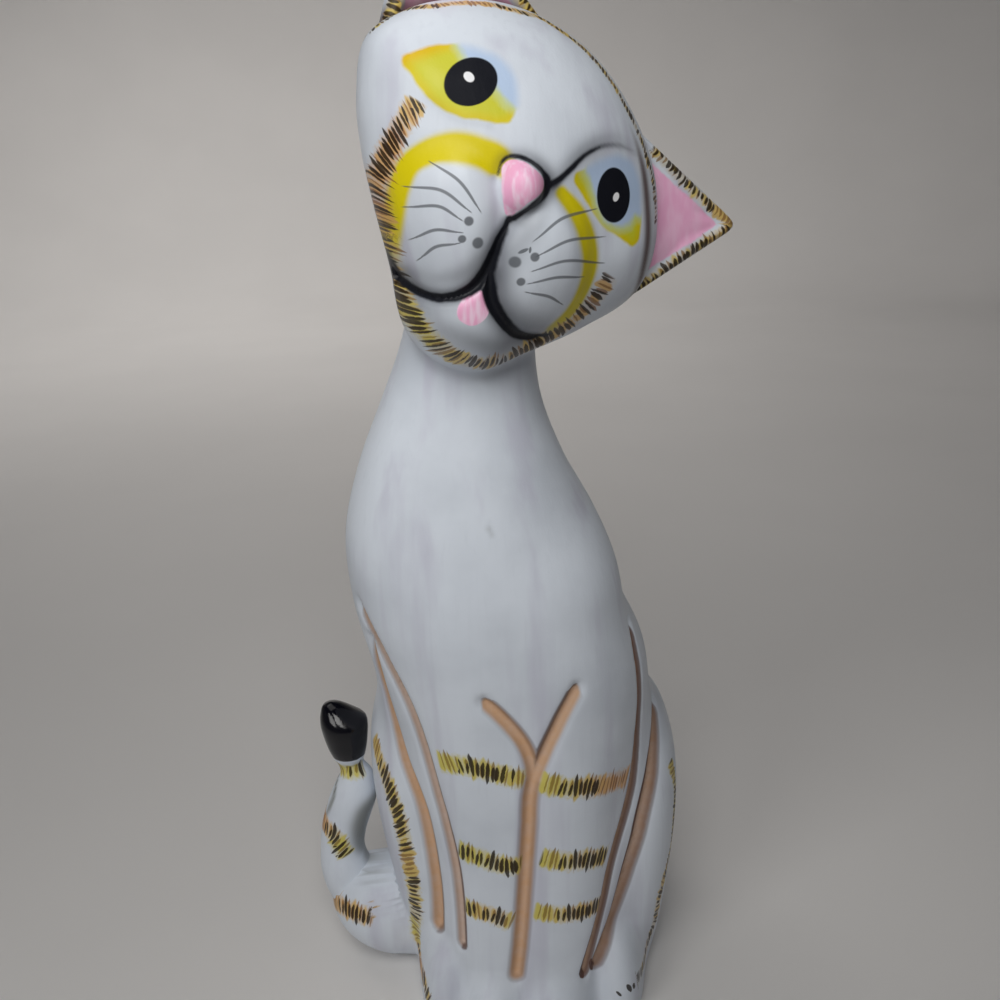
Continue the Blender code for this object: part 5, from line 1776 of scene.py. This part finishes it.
        streak = graph.step(graph.noise(500.0, 2.0, (1.0, 1.0, 0.2)), 0.4, 0.7)
        pink = graph.mix(streak, self.pink, self.pale_pink)
        depth = graph.math("MULTIPLY_ADD", wobble, 0.5, graph.attribute(Shape.PINK.value))
        colour = graph.mix(graph.step(depth, -0.25, 0.25), colour, pink)
        line = graph.math("MULTIPLY_ADD", wobble, 0.6, graph.attribute(Shape.INK.value))
        colour = graph.mix(graph.step(line, -0.5, 0.4), colour, self.ink)
        first, second = (self.spot(graph, pupil, across, up, 0.035) for pupil in PUPILS)
        pupils = graph.math("MULTIPLY", graph.math("MAXIMUM", first, second), front)
        colour = graph.mix(pupils, colour, self.ink)
        for highlight in HIGHLIGHTS:
            cover = graph.math("MULTIPLY", self.spot(graph, highlight, across, up, 0.14), front)
            colour = graph.mix(cover, colour, self.light)
        return self.paint.finish(graph, colour, matt=pupils)


@dataclass(frozen=True)
class EarFinish:
    """White rim with hair strokes round a pink field, and a dark seam at the head that is partly painted
    shade.
    """

    paint: SatinPaint = SatinPaint()
    strokes: HairStrokes = HairStrokes()
    pink: tuple = (0.93, 0.47, 0.70)
    pale_pink: tuple = (0.96, 0.58, 0.78)
    seam: tuple = (0.070, 0.030, 0.028)

    def build(self) -> bpy.types.Material:
        """Material of both ears."""
        graph = Graph("ear paint")
        colour = self.paint.colour(graph)
        wobble = graph.wobble(420.0, 3.0)
        depth = graph.math("MULTIPLY_ADD", wobble, 1.2, graph.attribute(Shape.PINK.value))
        streak = graph.step(graph.noise(300.0, 2.0, (1.0, 1.0, 0.3)), 0.35, 0.7)
        pink = graph.mix(streak, self.pink, self.pale_pink)
        colour = graph.mix(graph.step(depth, -0.5, 0.5), colour, pink)
        # Dark seam where the ear meets the head, partly painted shade.
        seam = graph.math("MULTIPLY", graph.attribute(Paint.SEAM.value), 0.9)
        colour = self.strokes.lay(graph, graph.mix(seam, colour, self.seam))
        return self.paint.finish(graph, colour)


@dataclass(frozen=True)
class TailFinish:
    """Satin white with bands of strokes, grey airbrush with painted shade round the gap at the haunch, and
    a glossy black tip.
    """

    paint: SatinPaint = SatinPaint()
    strokes: HairStrokes = HairStrokes()
    airbrush_and_shade: tuple = (0.10, 0.10, 0.07)
    tip: tuple = (0.003, 0.003, 0.006)
    tip_height: float = 0.0964

    def build(self) -> bpy.types.Material:
        """Material of the tail."""
        graph = Graph("tail paint")
        colour = self.paint.colour(graph)
        # Grey airbrush, and painted shade round the gap between tail and haunch.
        colour = graph.mix(graph.attribute(Paint.SMOKE.value), colour, self.airbrush_and_shade)
        colour = self.strokes.lay(graph, colour)
        split = graph.node("ShaderNodeSeparateXYZ")
        graph.feed(split.inputs[0], graph.place)
        wobble = graph.wobble(240.0, 2.0)
        height = graph.math("MULTIPLY_ADD", wobble, 0.0016, split.outputs[2])
        tip = graph.step(height, self.tip_height - 0.0003, self.tip_height + 0.0003)
        colour = graph.mix(tip, colour, self.tip)
        return self.paint.finish(graph, colour, gloss=tip)


@dataclass(frozen=True)
class BareWood:
    """Sanded pale wood of the underside, with end-grain rings."""

    early: tuple = (0.52, 0.36, 0.20)
    late: tuple = (0.30, 0.18, 0.09)
    ring_scale: float = 90.0
    ring_distortion: float = 3.0
    fleck_scale: float = 900.0
    roughness: tuple = (0.62, 0.8)
    bump_strength: float = 0.3
    bump_depth: float = 0.0002

    def build(self) -> bpy.types.Material:
        """Material of the underside."""
        graph = Graph("bare wood")
        rings = graph.node("ShaderNodeTexWave", wave_type="RINGS", rings_direction="Z")
        graph.feed(rings.inputs["Vector"], graph.place)
        rings.inputs["Scale"].default_value = self.ring_scale
        rings.inputs["Distortion"].default_value = self.ring_distortion
        colour = graph.mix(rings.outputs["Fac"], self.early, self.late)
        flecks = graph.step(graph.noise(self.fleck_scale, 2.0), 0.5, 0.7, 0.0, 0.4)
        colour = graph.mix(flecks, colour, self.late)
        graph.feed(graph.shader.inputs["Base Color"], colour)
        rough = graph.step(rings.outputs["Fac"], 0.0, 1.0, *self.roughness)
        graph.feed(graph.shader.inputs["Roughness"], rough)
        graph.bump(rings.outputs["Fac"], self.bump_strength, self.bump_depth)
        return graph.material


# ---------------------------------------------------------------- figure
@dataclass(frozen=True)
class Figure:
    """The whole cat: trunk, ears and tail joined, cut flat below, measured and painted."""

    trunk: Trunk = Trunk()
    ears: tuple = (
        Ear("left_ear", (0.0590, 0.0290, -0.0110), (0.0130, 0.0140, 0.0260), (88.0, -24.0, 214.0)),
        Ear("right_ear", (-0.0450, 0.0380, -0.0110), (0.0168, 0.0186, 0.0280), (77.0, 200.0, -40.0)),
    )
    tail: Tail = Tail()
    head_share: float = 1.25
    sharp_from: float = 50.0
    cutter: tuple = (0.4, 0.4, 0.05)

    def finishes(self) -> dict[Part, bpy.types.Material]:
        """Material of each part."""
        return {Part.TRUNK: BodyFinish().build(), Part.HEAD: FaceFinish().build(),
                Part.EAR: EarFinish().build(), Part.TAIL: TailFinish().build(),
                Part.UNDERSIDE: BareWood().build()}

    def ground(self, material: bpy.types.Material) -> bpy.types.Mesh:
        """Box below the floor that cuts the underside flat."""
        work = bmesh.new()
        lowered = Matrix.Translation((0.0, 0.0, -0.5 * self.cutter[2]))
        bmesh.ops.create_cube(work, size=1.0, matrix=lowered @ Matrix.Diagonal((*self.cutter, 1.0)))
        mesh = bpy.data.meshes.new("ground")
        work.to_mesh(mesh)
        work.free()
        mesh.materials.append(material)
        return mesh

    def join(self, finishes: dict[Part, bpy.types.Material]) -> bpy.types.Mesh:
        """One closed mesh of all skins, by exact unions, then cut flat at the floor."""
        whole = add_object("whole", ring_mesh("trunk", self.trunk.skin(), finishes[Part.TRUNK]))
        added = [(ear.name, ear.skin(), Part.EAR) for ear in self.ears]
        added.append(("tail", self.tail.skin(), Part.TAIL))
        tools = [(add_object(name, ring_mesh(name, skin, finishes[part])), "UNION")
                 for name, skin, part in added]
        tools.append((add_object("ground", self.ground(finishes[Part.UNDERSIDE])), "DIFFERENCE"))
        for tool, operation in tools:
            modifier = whole.modifiers.new(tool.name, "BOOLEAN")
            modifier.operation = operation
            modifier.solver = "EXACT"
            modifier.material_mode = "TRANSFER"
            modifier.object = tool
        shown = whole.evaluated_get(bpy.context.evaluated_depsgraph_get())
        joined = bpy.data.meshes.new_from_object(shown)
        for made in [whole] + [tool for tool, _ in tools]:
            bpy.data.objects.remove(made, do_unlink=True)
        return joined

    def sort_parts(self, mesh: bpy.types.Mesh, finishes: dict[Part, bpy.types.Material]) -> np.ndarray:
        """Gives each face its part's finish, and says which part each vertex belongs to.

        Args:
            mesh: The joined figure, whose slots still say which skin a face came from.
            finishes: Material of each part.

        Returns:
            Number of the part for every vertex. The trunk's faces inside a share of the head's outline
            above the neck take the head's finish, which is plain white where the two meet.
        """
        slots = read_all(mesh.polygons, "material_index", kind=np.int32)
        by_material = {material: part.value for part, material in finishes.items()}
        known = np.array([by_material.get(material, 0) for material in mesh.materials])
        part = known[np.clip(slots, 0, len(known) - 1)]
        local = self.trunk.head.local(read_all(mesh.polygons, "center", 3))
        size = np.sqrt(self.trunk.head.share(local) ** 2 + (local[:, 2] / self.trunk.head.back) ** 2)
        part[(part == Part.TRUNK.value) & (size < self.head_share)] = Part.HEAD.value
        mesh.materials.clear()
        for each in Part:
            mesh.materials.append(finishes[each])
        mesh.polygons.foreach_set("material_index", part.astype(np.int32))
        counts = read_all(mesh.polygons, "loop_total", kind=np.int32)
        corners = read_all(mesh.loops, "vertex_index", kind=np.int32)
        of_vertex = np.zeros(len(mesh.vertices), int)
        of_vertex[corners] = np.repeat(part, counts)
        return of_vertex

    def build(self) -> bpy.types.Object:
        """Joins, sorts, measures and dresses the figure.

        Returns:
            The finished piece, at the origin.
        """
        finishes = self.finishes()
        mesh = self.join(finishes)
        mesh.name = "cat figurine"
        part = self.sort_parts(mesh, finishes)
        mesh.shade_smooth()
        Markings(mesh, self.trunk, self.ears, self.tail, part).paint_all()
        mesh.set_sharp_from_angle(angle=math.radians(self.sharp_from))
        figure = add_object("cat_figurine", mesh)
        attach(figure, "root")
        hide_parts("cat")
        return figure


# ---------------------------------------------------------------- stage and camera
@dataclass(frozen=True)
class Lamp:
    """Square soft box.

    Attributes:
        name: Name of the lamp.
        place: Where it stands.
        aim: Place that it is turned towards, which isn't straight below it.
        size: Length of its sides.
        power: Power in watts.
        colour: Colour of its light.
        spread: Full angle that its light fills.
    """

    name: str
    place: tuple
    aim: tuple
    size: float
    power: float
    colour: tuple
    spread: float = math.pi

    def build(self) -> None:
        """Adds the lamp to the scene."""
        light = bpy.data.lights.new(self.name, "AREA")
        light.shape = "SQUARE"
        light.size = self.size
        light.energy = self.power
        light.spread = self.spread
        light.color = self.colour
        back = unit(np.asarray(self.place, float) - np.asarray(self.aim, float))
        side = unit(np.cross((0.0, 0.0, 1.0), back))
        turn = Matrix(np.column_stack([side, np.cross(back, side), back]).tolist()).to_4x4()
        lamp = bpy.data.objects.new(self.name, light)
        lamp.matrix_world = Matrix.Translation(self.place) @ turn
        bpy.context.scene.collection.objects.link(lamp)


@dataclass(frozen=True)
class Stage:
    """Pale floor that curves up into a far wall all round, and soft studio light."""

    floor_colour: tuple = (0.80, 0.785, 0.77)
    first_radius: float = 0.05
    flat_radius: float = 1.8
    wall_radius: float = 3.0
    wall_height: float = 2.4
    rings: int = 48
    sides: int = 96
    sky: tuple = (0.80, 0.86, 1.0)
    sky_strength: float = 0.03
    lamps: tuple = (
        Lamp("key", (-0.50, -0.60, 0.60), (0.0, 0.0, 0.33), 0.34, 1.04, (1.0, 0.99, 0.97), 2.4),
        Lamp("front", (-0.03, -0.44, 0.66), (0.0, 0.0, 0.36), 0.30, 0.78, (1.0, 0.99, 0.97), 2.0),
        Lamp("top", (-0.5, 0.6, 2.2), (-0.4, 0.7, 0.0), 1.4, 5.0, (1.0, 0.97, 0.94)),
        Lamp("back", (-0.9, 1.2, 1.7), (-0.2, 1.9, 0.1), 1.2, 7.0, (1.0, 0.97, 0.94), 1.8),
    )

    def floor(self) -> bpy.types.Object:
        """Bowl turned round the vertical: flat, then a quarter of an ellipse up to the wall's rim."""
        turn = np.linspace(0.0, 2.0 * np.pi, self.sides, endpoint=False)
        flat = np.linspace(self.first_radius, self.flat_radius, self.rings // 3)
        bend = np.linspace(0.0, 0.5 * np.pi, self.rings)[1:]
        beyond = self.flat_radius + (self.wall_radius - self.flat_radius) * np.sin(bend)
        radius = np.concatenate([flat, beyond])
        height = np.concatenate([0.0 * flat, self.wall_height * (1.0 - np.cos(bend))])
        points = np.stack([radius[:, None] * np.cos(turn), radius[:, None] * np.sin(turn),
                           np.broadcast_to(height[:, None], (len(radius), self.sides))], -1)
        graph = Graph("floor")
        fine = graph.step(graph.noise(3.0, 3.0), 0.3, 0.7, 0.0, 1.0)
        darker = tuple(0.96 * value for value in self.floor_colour)
        graph.feed(graph.shader.inputs["Base Color"], graph.mix(fine, self.floor_colour, darker))
        graph.shader.inputs["Roughness"].default_value = 0.8
        mesh = ring_mesh("floor", points, graph.material, closed=False)
        mesh.shade_smooth()
        return add_object("floor", mesh)

    def build(self) -> None:
        """Floor, lamps and sky."""
        self.floor()
        for lamp in self.lamps:
            lamp.build()
        world = bpy.data.worlds.new("sky")
        world.use_nodes = True
        back = world.node_tree.nodes["Background"]
        back.inputs[0].default_value = (*self.sky, 1.0)
        back.inputs[1].default_value = self.sky_strength
        bpy.context.scene.world = world
        bpy.context.scene.view_settings.view_transform = "Standard"


@dataclass(frozen=True)
class Viewpoint:
    """Camera close in front of the head, looking a little down."""

    eye: tuple = (-0.005, -0.3506, 0.3383)
    pitch: float = 20.0
    roll: float = 2.0
    lens: float = 36.0

    def build(self) -> bpy.types.Object:
        """Camera of the scene."""
        data = bpy.data.cameras.new("camera")
        data.sensor_width = 36.0
        data.lens = self.lens
        data.clip_start = 0.01
        pitch = math.radians(self.pitch)
        roll = math.radians(self.roll)
        level = np.array((1.0, 0.0, 0.0))
        raised = np.array((0.0, math.sin(pitch), math.cos(pitch)))
        right = math.cos(roll) * level - math.sin(roll) * raised
        up = math.sin(roll) * level + math.cos(roll) * raised
        axes = np.column_stack([right, up, np.cross(right, up)])
        camera = bpy.data.objects.new("camera", data)
        camera.matrix_world = Matrix.Translation(self.eye) @ Matrix(axes.tolist()).to_4x4()
        bpy.context.scene.collection.objects.link(camera)
        bpy.context.scene.camera = camera
        return camera


def main() -> None:
    """Builds the figure, the stage and the camera, and reports each."""
    logging.basicConfig(level=logging.INFO, format="%(message)s")
    figure = Figure().build()
    mesh = figure.data
    LOG.info("%s: %d vertices, %d faces", figure.name, len(mesh.vertices), len(mesh.polygons))
    Stage().build()
    LOG.info("stage: floor, lamps and sky")
    Viewpoint().build()
    LOG.info("camera in place")


if __name__ == "__main__":
    main()
